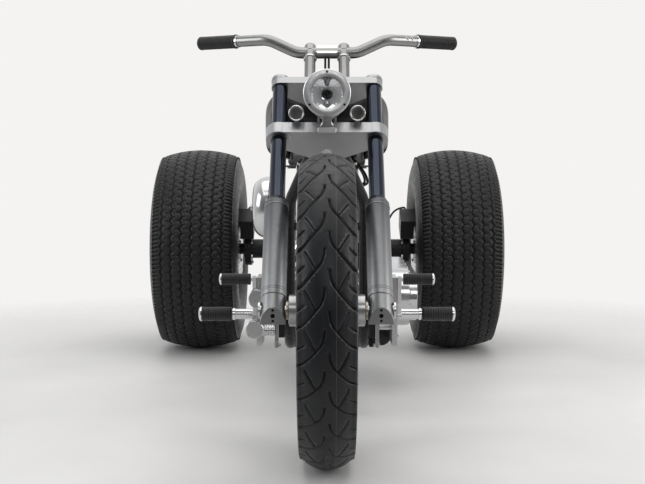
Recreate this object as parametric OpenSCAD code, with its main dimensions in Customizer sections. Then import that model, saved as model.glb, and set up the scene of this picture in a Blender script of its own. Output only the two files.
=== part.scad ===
// Three-wheeled motorcycle with a raked fork, a V-twin engine and a solid rear axle.
// The front of the vehicle is towards -Y, the rider's left is +X and the ground is at z = 0.
// The origin is on the ground under the middle of the overall length.

/* [Overall] */
// Distance from the front axle to the rear axle
wheelbase = 1873; // [1780:1:2300]
// Distance between the centres of the two rear tyres
rear_track = 1001; // [940:1:1300]
// Angle of the fork legs from upright, in degrees
rake = 39; // [34:0.5:44]
// Distance of the crankshaft behind the front axle
engine_setback = 968; // [940:1:1060]
// Height of the crankshaft above the ground
crank_z = 350; // [330:1:380]

/* [Front wheel] */
// Outer radius of the front tyre
front_tyre_r = 370; // [345:1:385]
// Width of the front tyre
front_tyre_w = 130; // [100:1:140]
// Radius of the front rim at the tyre's bead
front_bead_r = 292; // [270:1:300]
// Width of the front rim between its flanges
front_rim_w = 96; // [76:1:100]
// Radius of the front hub's flanges
front_hub_r = 38; // [30:1:50]
// Number of spokes in the front wheel
front_spokes = 7; // [7:1:12]

/* [Rear wheels] */
// Outer radius of a rear tyre
rear_tyre_r = 393.5; // [370:0.5:450]
// Width of a rear tyre
rear_tyre_w = 330; // [290:1:390]
// Radius of a rear rim at the tyre's bead
rear_bead_r = 190; // [180:1:215]
// Width of a rear rim between its flanges
rear_rim_w = 236; // [200:1:250]
// Number of spokes in a rear wheel
rear_spokes = 5; // [4:1:10]
// Radius of a rear brake disc
disc_r = 135; // [115:1:150]

/* [Fork] */
// Distance between the centres of the fork legs
leg_spacing = 254; // [240:1:300]
// Radius of a fork tube
fork_tube_r = 20.5; // [18:0.5:24]
// Radius of a fork slider
slider_r = 30.5; // [28:0.5:34]
// Height of a slider's top above the axle, along the leg
slider_top = 322; // [260:1:400]
// Height of the lower clamp's middle above the axle, along the leg
lower_clamp_s = 545; // [500:1:570]
// Height of the upper clamp's middle above the axle, along the leg
upper_clamp_s = 723; // [700:1:800]
// Thickness of the lower clamp
lower_clamp_t = 34; // [24:1:40]
// Thickness of the upper clamp
upper_clamp_t = 22; // [16:1:30]
// Distance of the steering axis behind the fork legs
stem_offset = 50; // [40:1:60]
// Radius of the steering stem
stem_r = 14; // [12:0.5:18]
// Radius of the front axle
front_axle_r = 12.5; // [10:0.5:15]

/* [Handlebar] */
// Radius of the handlebar's tube
bar_r = 16; // [11:0.5:17]
// Half of the handlebar's width
bar_half = 370; // [330:1:460]
// Height of the bar's middle above the front axle, along the leg
bar_s = 889; // [850:1:960]
// Distance of the bar's middle behind the fork legs
bar_offset = 40; // [32:1:48]
// Distance between the centres of the two risers
riser_spacing = 96; // [86:1:120]
// Radius of a riser
riser_r = 16; // [14:0.5:20]
// Length of a grip
grip_len = 128; // [100:1:150]
// Thickness of a grip's rubber
grip_t = 3.2; // [2:0.1:5]

/* [Lamps] */
// Outer radius of the headlight's bezel
headlight_r = 61.5; // [50:0.5:75]
// Radius of the headlight's lens
lens_r = 44; // [36:0.5:48]
// Depth of the headlight's shell
headlight_depth = 104; // [80:1:120]
// Height of the headlight's middle above the top of the lower clamp
headlight_rise = 84; // [78:1:110]
// Radius of a turn signal
signal_r = 20.5; // [15:0.5:21]
// Distance between the centres of the turn signals
signal_spacing = 160; // [150:1:164]

/* [Frame] */
// Outer radius of the headstock
headstock_r = 27; // [23:0.5:32]
// Radius of the backbone's tube
backbone_r = 20; // [16:0.5:24]
// Radius of the cradle's tubes
cradle_r = 16; // [13:0.5:18]
// Distance between the centres of the two lower rails
rail_spacing = 214; // [200:1:220]
// Height of the lower rails' middle
rail_z = 196; // [185:1:205]

/* [Body] */
// Width of the fuel tank
tank_w = 372; // [330:1:400]
// Length of the fuel tank
tank_len = 560; // [500:1:575]
// Height of the fuel tank's lowest edge above the ground
tank_bottom = 734; // [725:1:745]
// Height of the fuel tank from its lowest edge to its top
tank_h = 224; // [200:1:260]
// Length of the seat
seat_len = 330; // [280:1:350]
// Width of the seat at the back
seat_w = 300; // [240:1:340]
// Thickness of the seat
seat_t = 62; // [40:1:90]

/* [Engine] */
// Angle of each cylinder from upright, in degrees
bank_angle = 22.5; // [20:0.5:26]
// Radius of the cylinders' fins
fin_r = 78; // [66:1:84]
// Distance from one fin to the next
fin_pitch = 12; // [8:0.5:16]
// Thickness of a fin
fin_t = 3.5; // [2:0.5:6]
// Radius of the exhaust pipes
exhaust_r = 24; // [19:0.5:26]
// Radius of the mufflers
muffler_r = 40; // [34:0.5:41]
// Radius of the air cleaner
air_cleaner_r = 97; // [80:1:110]
// Distance from the middle of the vehicle to the air cleaner's face
air_cleaner_reach = 237; // [215:1:270]
// Distance from the middle of the vehicle to the primary cover's face
primary_reach = 285; // [240:1:300]

/* [Rear axle] */
// Radius of the axle housing's tube
axle_tube_r = 38; // [32:0.5:44]
// Radius of the differential's case
diff_r = 105; // [95:1:118]
// Radius of a rear wheel's spindle
spindle_r = 22; // [18:0.5:26]

/* [Foot controls] */
// Distance of the foot pegs behind the front axle
peg_setback = 520; // [500:1:560]
// Height of the foot pegs above the ground
peg_z = 297; // [280:1:320]
// Distance from the middle of the vehicle to a peg's end
peg_reach = 360; // [330:1:400]
// Radius of a foot peg
peg_r = 20; // [15:0.5:24]
// Distance between the two control plates
plate_spacing = 377; // [360:1:400]

/* [Number plate] */
// Width of the number plate
number_plate_w = 180; // [150:1:220]
// Height of the number plate
number_plate_h = 120; // [90:1:150]
// Distance between the number plate's holes
plate_hole_spacing = 145; // [110:1:145]

/* [Hidden] */
$fn = 64;

// Clearances
run_gap = 0.05;      // a part that turns on a shaft
seat_gap = 0.2;      // a part seated round or on another one
soft_gap = 0.3;      // a soft part on what carries it
swing_gap = 1.5;     // clamp faces past the headstock's ends
bend_lip = 0.3;      // a bent length's tube is this much fatter than the straights that enter it
bend_lap = 2;        // and each straight enters it this far

// Axles
front_y = front_tyre_r - (wheelbase + front_tyre_r + rear_tyre_r) / 2;
rear_y = front_y + wheelbase;
engine_y = front_y + engine_setback;
leg_x = leg_spacing / 2;
rail_x = rail_spacing / 2;
wheel_x = rear_track / 2;

// Where the frame's pieces meet
post_y = engine_y + 490;
rail_joint_y = post_y + cradle_r + 4;
downtube_y = front_y + 562;
seat_base_z = 712;
tank_front = front_y + 594;
peg_y = front_y + peg_setback;

// Turns the fork's own frame into the vehicle's: Z runs up the legs, Y points behind them
module on_fork()
    translate([0, front_y, front_tyre_r])
        rotate([-rake, 0, 0])
            children();

// A point given in the fork's own frame, as a point of the vehicle
function fork_point(x, back, up) = [
    x,
    front_y + up * sin(rake) + back * cos(rake),
    front_tyre_r + up * cos(rake) - back * sin(rake)
];

// Stands its children on one cylinder's axis: side is 1 for the front cylinder, -1 for the rear
module on_cylinder(side)
    translate([0, engine_y, crank_z])
        rotate([side * bank_angle, 0, 0])
            children();

// A point given on one cylinder's axis, as a point of the vehicle
function cylinder_point(side, x, back, up) = [
    x,
    engine_y + back * cos(side * bank_angle) - up * sin(side * bank_angle),
    crank_z + up * cos(bank_angle) + back * sin(side * bank_angle)
];

// A round bar from point a to point b
module rod(a, b, r) {
    v = b - a;
    translate(a)
        rotate([0, acos(v.z / norm(v)), atan2(v.y, v.x)])
            cylinder(h = norm(v), r = r);
}

// A cylinder along X between two places
module x_cylinder(x1, x2, r)
    translate([x1, 0, 0])
        rotate([0, 90, 0])
            cylinder(h = x2 - x1, r = r);

// A round bar along a path of points, bent to the given radius at each inner point
module bent_bar(path, r, bend) {
    last = len(path) - 1;
    reach = [for (i = [0:last]) i == 0 || i == last ? 0 : bend_reach(path, i, bend)];
    for (i = [0:last - 1]) {
        along = unit(path[i + 1] - path[i]);
        rod(
            path[i] + along * (i == 0 ? 0 : reach[i] - bend_lap),
            path[i + 1] - along * (i + 1 == last ? 0 : reach[i + 1] - bend_lap),
            r
        );
    }
    for (i = [1:last - 1]) {
        to_last = unit(path[i - 1] - path[i]);
        to_next = unit(path[i + 1] - path[i]);
        centre = path[i] + unit(to_last + to_next) * bend / cos(turn_angle(path, i) / 2);
        out = unit(path[i] + to_last * reach[i] - centre);
        up = unit(cross(out, path[i] + to_next * reach[i] - centre));
        side = cross(up, out);
        multmatrix([
            [out.x, side.x, up.x, centre.x],
            [out.y, side.y, up.y, centre.y],
            [out.z, side.z, up.z, centre.z],
            [0, 0, 0, 1]
        ])
            rotate_extrude(angle = turn_angle(path, i))
                translate([bend, 0])
                    circle(r = r + bend_lip);
    }
}
function unit(v) = v / norm(v);
function turn_angle(path, i) = acos(unit(path[i] - path[i - 1]) * unit(path[i + 1] - path[i]));
function bend_reach(path, i, bend) = bend * tan(turn_angle(path, i) / 2);
function mirrored(p) = [-p.x, p.y, p.z];

// Both sides of the vehicle
module both_sides() {
    children();
    mirror([1, 0, 0]) children();
}

// Frame

neck_low = lower_clamp_s + lower_clamp_t / 2 + swing_gap;
neck_high = upper_clamp_s - upper_clamp_t / 2 - swing_gap;
backbone_start = fork_point(0, stem_offset, neck_high - 84);
backbone_z = backbone_start.z;
backbone_path = [
    backbone_start,
    [0, engine_y + 190, backbone_z],
    [0, engine_y + 280, seat_base_z - backbone_r - 1],
    [0, post_y, seat_base_z - backbone_r - 1],
    [0, post_y, rail_z]
];

module frame_backbone() color("dimgray") {
    difference() {
        union() {
            on_fork()
                translate([0, stem_offset, neck_low])
                    cylinder(h = neck_high - neck_low, r = headstock_r);
            bent_bar(backbone_path, backbone_r, 60);
        }
        on_fork()
            translate([0, stem_offset, neck_low - 1])
                cylinder(h = neck_high - neck_low + 2, r = stem_r + run_gap);
        translate([0, post_y, rail_z])
            x_cylinder(-rail_x, rail_x, cradle_r + seat_gap);
    }
}

downtube_start = fork_point(0, stem_offset + headstock_r + seat_gap, neck_low + 55);
downtube_path = [
    [cradle_r + 3, downtube_start.y, downtube_start.z],
    [rail_x, downtube_y, downtube_start.z - 190],
    [rail_x, downtube_y + 12, rail_z],
    [rail_x, rail_joint_y, rail_z]
];
front_mount_y = downtube_y + 110;

module frame_cradle() color("dimgray") {
    difference() {
        both_sides()
            bent_bar(downtube_path, cradle_r, 85);
        // Room for the headstock and the backbone
        on_fork()
            translate([0, stem_offset, neck_low - 100])
                cylinder(h = neck_high - neck_low + 200, r = headstock_r + seat_gap);
        rod(backbone_path[0], backbone_path[1], backbone_r + seat_gap);
    }
    for (y = [front_mount_y, post_y])
        translate([0, y, rail_z])
            x_cylinder(-rail_x, rail_x, cradle_r);
    translate([0, downtube_y + 3, downtube_start.z - 260])
        x_cylinder(-rail_x, rail_x, cradle_r * 0.7);
}

// Rear frame: lower rails and upper stays out to two rings round the axle housing
ring_x = rail_x + 28;
ring_w = 30;
stay_top = [rail_x, post_y + 30, seat_base_z - 40];
stay_mid_y = post_y + backbone_r + 40;
// Arm behind the axle that carries the tail light and the number plate
arm_r = 11;
arm_y = rear_y + 150;
arm_z = rear_tyre_r + 60;
module frame_rear() color("dimgray") {
    difference() {
        union() {
            both_sides() {
                bent_bar([
                    [rail_x, rail_joint_y + seat_gap, rail_z],
                    [rail_x, post_y + 60, rail_z],
                    [ring_x, rear_y, rear_tyre_r - axle_tube_r - 8]
                ], cradle_r, 85);
                bent_bar([
                    [0, stay_mid_y, stay_top.z],
                    stay_top,
                    [ring_x, rear_y, rear_tyre_r + axle_tube_r + 6]
                ], cradle_r, 60);
                translate([ring_x - ring_w / 2, rear_y, rear_tyre_r])
                    x_cylinder(0, ring_w, axle_tube_r + 16);
            }
            translate([0, post_y + backbone_r + seat_gap, stay_top.z])
                rotate([-90, 0, 0])
                    cylinder(h = 45, r = cradle_r);
            bent_bar([
                [-ring_x, rear_y + 30, rear_tyre_r],
                [-ring_x, arm_y, arm_z],
                [ring_x, arm_y, arm_z],
                [ring_x, rear_y + 30, rear_tyre_r]
            ], arm_r, 50);
        }
        translate([0, rear_y, rear_tyre_r])
            x_cylinder(-wheel_x, wheel_x, axle_tube_r + seat_gap);
    }
}

// Body

cap_y = 165;
tunnel_half = 110;
tunnel_z = 790;
shoulder_r = 75;
nose_r = 112;
// The tank cut across: rounded shoulders, and a tunnel for the backbone and the rocker boxes
module tank_section()
    difference() {
        union() {
            translate([-tank_w / 2, 0])
                square([tank_w, tank_h - shoulder_r]);
            for (side = [-1, 1])
                translate([side * (tank_w / 2 - shoulder_r), tank_h - shoulder_r])
                    circle(r = shoulder_r);
            translate([-tank_w / 2 + shoulder_r, 0])
                square([tank_w - 2 * shoulder_r, tank_h]);
        }
        translate([-tunnel_half, -1])
            square([2 * tunnel_half, tunnel_z - tank_bottom + 1]);
        translate([-backbone_r - 12, -1])
            square([2 * backbone_r + 24, backbone_z + backbone_r + soft_gap - tank_bottom + 1]);
    }
// The tank seen from above: full width in front, narrower towards the seat
module tank_plan()
    intersection() {
        translate([0, 0.42 * tank_len])
            circle(r = tank_len * 0.6);
        translate([0, tank_len / 2])
            square([tank_w, tank_len], center = true);
        polygon([
            [-tank_w / 2, -1], [tank_w / 2, -1], [tank_w / 2, tank_len * 0.5],
            [tank_w * 0.34, tank_len + 1], [-tank_w * 0.34, tank_len + 1], [-tank_w / 2, tank_len * 0.5]
        ]);
    }
// The tank seen from the side: round nose, top falling to the seat
module tank_side()
    union() {
        intersection() {
            translate([nose_r - 2, tank_h - nose_r])
                circle(r = nose_r);
            square([nose_r, tank_h]);
        }
        translate([40, 0])
            square([nose_r - 40, tank_h - 80]);
        polygon([
            [0, tank_h - nose_r], [42, 0], [tank_len - 40, 0], [tank_len, 58],
            [tank_len, 96], [tank_len * 0.66, tank_h - 12], [cap_y + 40, tank_h], [nose_r - 2, tank_h]
        ]);
    }
module fuel_tank() color([0.12, 0.12, 0.13])
    translate([0, tank_front, tank_bottom])
        intersection() {
            translate([0, tank_len, 0])
                rotate([90, 0, 0])
                    linear_extrude(tank_len)
                        tank_section();
            linear_extrude(tank_h + 1)
                tank_plan();
            translate([-tank_w / 2, 0, 0])
                rotate([90, 0, 90])
                    linear_extrude(tank_w)
                        tank_side();
        }

cap_z = tank_bottom + tank_h;
module fuel_cap() color("silver")
    translate([0, tank_front + cap_y, cap_z])
        cylinder(h = 14, r = 30);

pan_t = 4;
seat_front_r = 95;
seat_y = engine_y + 312;
// A plate of the seat's outline: a disc in front, a larger one behind and the sides between them
module seat_shape(inset, thick) {
    back_r = seat_w / 2 - inset;
    front_r = seat_front_r - inset;
    centre_back = seat_len - seat_w / 2;
    lean = asin((seat_w / 2 - seat_front_r) / (centre_back - seat_front_r));
    // The sides sit just inside the tangents, so that they cut the discs cleanly
    ends = [[seat_front_r, front_r - run_gap], [centre_back, back_r - run_gap]];
    translate([0, seat_front_r, 0])
        cylinder(h = thick, r = front_r);
    translate([0, centre_back, 0])
        cylinder(h = thick, r = back_r);
    linear_extrude(thick)
        polygon([
            for (side = [1, -1], i = side > 0 ? [0, 1] : [1, 0])
                [side * ends[i][1] * cos(lean), ends[i][0] - ends[i][1] * sin(lean)]
        ]);
}
module seat_pan() color("dimgray")
    translate([0, seat_y, seat_base_z])
        seat_shape(6, pan_t);
module seat() color([0.1, 0.1, 0.1])
    translate([0, seat_y, seat_base_z + pan_t + soft_gap])
        seat_shape(0, seat_t);

// Engine

case_half = 72;
case_r = 122;
barrel_low = case_r + 2;
head_high = 342;
rocker_h = 68;
rocker_half_x = 98;
rocker_len = 150;

module crankcase() color("silver") {
    translate([0, engine_y, crank_z])
        x_cylinder(-case_half, case_half, case_r);
    translate([-case_half, engine_y - 105, rail_z + cradle_r + 8])
        cube([2 * case_half, 210, crank_z - rail_z - cradle_r - 8]);
    for (side = [-1, 1])
        intersection() {
            on_cylinder(side)
                translate([-case_half, -62, 60])
                    cube([2 * case_half, 124, barrel_low - 60]);
            translate([-case_half, side > 0 ? engine_y - 200 : engine_y, crank_z])
                cube([2 * case_half, 200, 200]);
        }
    // Front and rear mounts that stand on the cradle
    for (y = [front_mount_y, engine_y + 100])
        translate([-25, y - (y > engine_y ? 0 : 12), rail_z + cradle_r + 8])
            cube([50, y > engine_y ? 60 : engine_y - 100 - y + 12, 22]);
}

port_x = -30;
port_h = 300;
port_reach = 6;
module cylinder_barrel(side) color("silver")
    intersection() {
        on_cylinder(side) {
            translate([0, 0, barrel_low + seat_gap])
                cylinder(h = head_high - barrel_low - 2 * seat_gap, r = fin_r * 0.76);
            translate([port_x, 0, port_h])
                rotate([side * 90, 0, 0])
                    cylinder(h = fin_r + port_reach, r = exhaust_r + 5);
            for (h = [barrel_low + 12:fin_pitch:head_high - 10])
                translate([0, 0, h])
                    cylinder(h = fin_t, r = fin_r);
        }
        translate([-150, side > 0 ? engine_y - 400 : engine_y + 1, crank_z])
            cube([300, 399, 500]);
    }

module rocker_boxes() color("gainsboro")
    for (side = [-1, 1])
        on_cylinder(side)
            translate([0, 0, head_high]) {
                translate([-rocker_half_x, -rocker_len / 2, 0])
                    cube([2 * rocker_half_x, rocker_len, rocker_h * 0.55]);
                translate([-rocker_half_x + 10, -rocker_len / 2 + 10, 0])
                    cube([2 * rocker_half_x - 20, rocker_len - 20, rocker_h]);
            }

pushrod_x = -89;
pushrod_r = 9;
cam_cover_reach = -116;
module pushrod_tubes() color("white")
    for (side = [-1, 1], back = [-20, 20])
        on_cylinder(side)
            translate([pushrod_x, back, 0])
                difference() {
                    cylinder(h = head_high - seat_gap, r = pushrod_r);
                    translate([0, -back, 0])
                        x_cylinder(-60, 60, case_r - 6 + seat_gap);
                }

module cam_cover() color("silver")
    translate([0, engine_y, crank_z]) {
        x_cylinder(cam_cover_reach, -case_half - seat_gap, case_r - 6);
        translate([0, 0, -34])
            x_cylinder(cam_cover_reach - 22, cam_cover_reach, 62);
    }

air_z = crank_z + 235;
module air_cleaner() color("silver")
    translate([0, engine_y, air_z]) {
        x_cylinder(-air_cleaner_reach + 40, -air_cleaner_reach + 100, air_cleaner_r);
        translate([-air_cleaner_reach + 40, 0, 0])
            rotate([0, -90, 0])
                rotate_extrude()
                    intersection() {
                        translate([0, 40 - 140])
                            circle(r = 140);
                        square([air_cleaner_r, 40]);
                    }
        x_cylinder(-air_cleaner_reach + 100, -fin_r - 6, 26);
        // Intake branch that is seated on both cylinders
        difference() {
            union() {
                x_cylinder(-fin_r - 6, 16, 16);
                translate([0, -60, 0])
                    rotate([-90, 0, 0])
                        cylinder(h = 120, r = 16);
            }
            for (side = [-1, 1])
                translate([0, 0, crank_z - air_z])
                    rotate([side * bank_angle, 0, 0])
                        cylinder(h = 500, r = fin_r + seat_gap);
        }
    }

primary_in = 130;
primary_r = 92;
clutch_y = engine_y + 330;
clutch_z = crank_z - 40;
primary_z = crank_z - 52;
module primary_outline(r) {
    lean = atan2(clutch_z - primary_z, clutch_y - engine_y);
    translate([engine_y, primary_z])
        circle(r = r);
    translate([clutch_y, clutch_z])
        circle(r = r);
    translate([engine_y, primary_z])
        rotate(lean)
            translate([0, -r])
                square([norm([clutch_y - engine_y, clutch_z - primary_z]), 2 * r]);
}
module along_x(x)
    translate([x, 0, 0])
        rotate([90, 0, 90])
            children();
module primary_cover() color("silver") {
    along_x(primary_in)
        linear_extrude(primary_reach - primary_in - 26)
            primary_outline(primary_r);
    along_x(primary_reach - 26)
        linear_extrude(26)
            primary_outline(primary_r - 16);
    translate([0, engine_y, crank_z - 20])
        x_cylinder(case_half + seat_gap, primary_in, 55);
}

gearbox_half = 82;
gearbox_top = 425;
pulley_in = 44;
pulley_w = 26;
gear_pulley_r = 48;
gear_pulley_y = engine_y + 330;
gear_pulley_z = 335;
axle_pulley_r = 100;
module gearbox() color("silver") {
    translate([-gearbox_half, engine_y + 205, rail_z + cradle_r + 8])
        cube([gearbox_half + 34, 205, gearbox_top - rail_z - cradle_r - 8]);
    translate([0, gear_pulley_y, gear_pulley_z]) {
        x_cylinder(30, pulley_in, 24);
        x_cylinder(pulley_in, pulley_in + pulley_w, gear_pulley_r);
        x_cylinder(pulley_in + pulley_w, primary_in - seat_gap, 24);
    }
    translate([-40, engine_y + case_r + seat_gap, rail_z + cradle_r + 40])
        cube([70, 205 - case_r, 120]);
}

belt_t = 6;
// A pulley drive's whole outline: a disc round each pulley and the straight runs between them
module belt_shape(grow, width) {
    run = [rear_y - gear_pulley_y, rear_tyre_r - gear_pulley_z];
    r_gear = gear_pulley_r + grow;
    r_axle = axle_pulley_r + grow;
    lean = asin((r_axle - r_gear) / norm(run));
    along_x(pulley_in + pulley_w / 2 - width / 2)
        translate([gear_pulley_y, gear_pulley_z])
            rotate(atan2(run.y, run.x)) {
                cylinder(h = width, r = r_gear);
                translate([norm(run), 0])
                    cylinder(h = width, r = r_axle);
                // The runs sit just inside the tangents, so that they cut the discs cleanly
                linear_extrude(width)
                    polygon([
                        for (end = [[0, r_gear - run_gap], [norm(run), r_axle - run_gap]])
                            [end[0] - end[1] * sin(lean), end[1] * cos(lean)],
                        for (end = [[norm(run), r_axle - run_gap], [0, r_gear - run_gap]])
                            [end[0] - end[1] * sin(lean), -end[1] * cos(lean)]
                    ]);
            }
}
module drive_belt() color([0.15, 0.15, 0.15])
    difference() {
        belt_shape(belt_t, pulley_w - 4);
        belt_shape(seat_gap, pulley_w);
    }

// Exhaust: each header leaves its head on the right and runs back inside the rear wheel
front_port = cylinder_point(1, port_x, -fin_r - port_reach - seat_gap, port_h);
rear_port = cylinder_point(-1, port_x, fin_r + port_reach + seat_gap, port_h);
muffler_x = -188;
muffler_y = engine_y + 350;
front_pipe_z = rail_z + 62;
rear_pipe_z = front_pipe_z + 88;
muffler_end = rear_y - 130;
module muffler(z) {
    difference() {
        translate([muffler_x, muffler_y, z])
            rotate([-90, 0, 0])
                cylinder(h = muffler_end - muffler_y, r = muffler_r);
        translate([muffler_x, muffler_end - 60, z])
            rotate([-90, 0, 0])
                cylinder(h = 61, r = muffler_r - 4);
    }
}
module exhaust_front() color("gainsboro") {
    bent_bar([
        front_port,
        cylinder_point(1, port_x, -fin_r - 72, port_h),
        [-112, front_port.y - 66, front_port.z - 190],
        [muffler_x, front_port.y + 30, front_pipe_z],
        [muffler_x, muffler_y + 5, front_pipe_z]
    ], exhaust_r, 55);
    muffler(front_pipe_z);
}
module exhaust_rear() color("gainsboro") {
    bent_bar([
        rear_port,
        cylinder_point(-1, port_x, fin_r + 58, port_h),
        [muffler_x, rear_port.y + 34, rear_port.z - 120],
        [muffler_x, rear_port.y + 84, rear_pipe_z],
        [muffler_x, muffler_y + 5, rear_pipe_z]
    ], exhaust_r, 45);
    muffler(rear_pipe_z);
}

oil_tank_y = engine_y + 292;
oil_tank_z = gearbox_top + 27;
module oil_tank() color("gainsboro") {
    translate([0, oil_tank_y, oil_tank_z])
        intersection() {
            translate([-112, 0, 0])
                cube([224, 160, 190]);
            translate([0, 40, 0])
                cylinder(h = 190, r = 140);
        }
    // Feet that stand on the gearbox
    for (x = [-55, 10], y = [30, 90])
        translate([x, oil_tank_y + y, gearbox_top + soft_gap])
            cylinder(h = 30, r = 12);
}

filter_r = 30;
filter_y = peg_y + 85;
module oil_filter() color([0.1, 0.1, 0.1]) {
    translate([rail_x + cradle_r + filter_r + 3, filter_y, rail_z + 28])
        rotate([-90, 0, 0])
            cylinder(h = 90, r = filter_r);
    translate([rail_x + cradle_r + bend_lip + seat_gap, filter_y + 25, rail_z - 10])
        cube([16, 30, 30]);
}

// Rear axle

stub_x = wheel_x - 170;
disc_x = stub_x + 16;
disc_t = 6;
hub_in = disc_x + disc_t + run_gap;
spindle_end = wheel_x + 10;
module axle_housing() color([0.13, 0.13, 0.13])
    translate([0, rear_y, rear_tyre_r]) {
        x_cylinder(-stub_x, stub_x, axle_tube_r);
        x_cylinder(-spindle_end, spindle_end, spindle_r);
        both_sides()
            x_cylinder(stub_x - 30, stub_x - 16, axle_tube_r + 28);
        x_cylinder(-95, 36, diff_r * 0.62);
        x_cylinder(-60, 24, diff_r);
        x_cylinder(pulley_in, pulley_in + pulley_w, axle_pulley_r);
    }

caliper_in = stub_x - 42;
module brake_calipers() color([0.1, 0.1, 0.1])
    both_sides()
        translate([0, rear_y, rear_tyre_r])
            difference() {
                union() {
                    rotate([115, 0, 0])
                        translate([caliper_in, disc_r - 62, -55])
                            cube([disc_x + 26 - caliper_in, 78, 110]);
                    x_cylinder(stub_x - 15, stub_x - 5, axle_tube_r + 28);
                    rotate([115, 0, 0])
                        translate([stub_x - 15, 20, -30])
                            cube([10, disc_r - 60, 60]);
                }
                x_cylinder(disc_x - 5, disc_x + disc_t + 6, disc_r + 6);
                x_cylinder(0, wheel_x, axle_tube_r + seat_gap);
            }

// Foot controls

plate_t = 15;
plate_x = plate_spacing / 2;
lever_z = peg_z + 104;
module foot_controls() color("silver")
    both_sides() {
        translate([plate_x - plate_t / 2, peg_y - 50, rail_z + 18])
            cube([plate_t, 126, 190]);
        translate([0, peg_y + 62, peg_z]) {
            x_cylinder(rail_x + cradle_r + seat_gap, plate_x, 13);
            rotate([-35, 0, 0])
                translate([0, 0, -50])
                    x_cylinder(rail_x + cradle_r + seat_gap, plate_x, 9);
        }
        translate([0, peg_y, peg_z])
            x_cylinder(plate_x, plate_x + 62, 11);
        // The lever with its own small peg above the foot peg
        translate([plate_x + plate_t / 2, peg_y - 45, peg_z - 6])
            rotate([12, 0, 0])
                cube([10, 18, lever_z - peg_z + 14]);
        translate([0, peg_y - 58, lever_z])
            x_cylinder(plate_x + plate_t / 2, plate_x + 50, 6);
        translate([0, peg_y - 36, peg_z])
            x_cylinder(plate_x, plate_x + plate_t / 2 + 12, 12);
    }
module foot_pegs() color([0.12, 0.12, 0.12])
    both_sides() {
        translate([0, peg_y, peg_z])
            x_cylinder(plate_x + 62, peg_reach, peg_r);
        translate([0, peg_y - 58, lever_z])
            difference() {
                x_cylinder(plate_x + 22, plate_x + 110, 16);
                x_cylinder(plate_x, plate_x + 50 + seat_gap, 6 + seat_gap);
            }
    }

// Rear lamp and plate

tail_light_r = 32;
tail_light_len = 52;
module tail_light() color("darkred")
    translate([0, arm_y, arm_z])
        difference() {
            union() {
                translate([0, tail_light_len / 2, arm_r + tail_light_r + 16])
                    rotate([90, 0, 0])
                        cylinder(h = tail_light_len, r = tail_light_r);
                translate([-12, -8, arm_r])
                    cube([24, 16, 30]);
            }
            x_cylinder(-50, 50, arm_r + seat_gap);
        }

plate_rise = 24;
plate_hole_r = 3.5;
number_plate_t = 3;
module number_plate() color("white")
    translate([0, arm_y + arm_r + bend_lip + seat_gap, arm_z + plate_rise])
        difference() {
            translate([-number_plate_w / 2, 0, -number_plate_h])
                cube([number_plate_w, number_plate_t, number_plate_h]);
            for (side = [-1, 1])
                translate([side * plate_hole_spacing / 2, -1, -number_plate_h / 2])
                    rotate([-90, 0, 0])
                        cylinder(h = number_plate_t + 2, r = plate_hole_r);
        }

// Fork

module clamp(up, t, r, bore_stem) color("silver")
    on_fork()
        translate([0, 0, up - t / 2])
            difference() {
                linear_extrude(t) {
                    for (side = [-1, 1])
                        translate([side * leg_x, 0])
                            circle(r = r);
                    translate([0, stem_offset])
                        circle(r = stem_r + 22);
                    polygon([
                        [-leg_x, -r], [leg_x, -r], [leg_x, r], [stem_r + 26, stem_offset + 26],
                        [-stem_r - 26, stem_offset + 26], [-leg_x, r]
                    ]);
                }
                for (side = [-1, 1])
                    translate([side * leg_x, 0, -1])
                        cylinder(h = t + 2, r = fork_tube_r + run_gap);
                translate([0, stem_offset, -1])
                    cylinder(h = t + 2, r = bore_stem);
            }

clamp_r = fork_tube_r + 12;
upper_clamp_r = fork_tube_r + 4;
module upper_clamp() clamp(upper_clamp_s, upper_clamp_t, upper_clamp_r, stem_r + run_gap);
module lower_clamp() clamp(lower_clamp_s, lower_clamp_t, clamp_r, stem_r + run_gap);

clamp_top = upper_clamp_s + upper_clamp_t / 2;
module steering_stem() color("silver")
    on_fork()
        translate([0, stem_offset, lower_clamp_s - lower_clamp_t / 2]) {
            cylinder(h = clamp_top - lower_clamp_s + lower_clamp_t / 2, r = stem_r);
            translate([0, 0, clamp_top - lower_clamp_s + lower_clamp_t / 2])
                cylinder(h = 12, r = stem_r + 6);
        }

tube_bottom = slider_top - 120;
module fork_tubes() color("gainsboro")
    on_fork()
        both_sides()
            translate([leg_x, 0, tube_bottom]) {
                cylinder(h = clamp_top - tube_bottom, r = fork_tube_r);
                translate([0, 0, clamp_top - tube_bottom])
                    cylinder(h = 9, r = fork_tube_r + 3);
            }

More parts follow.
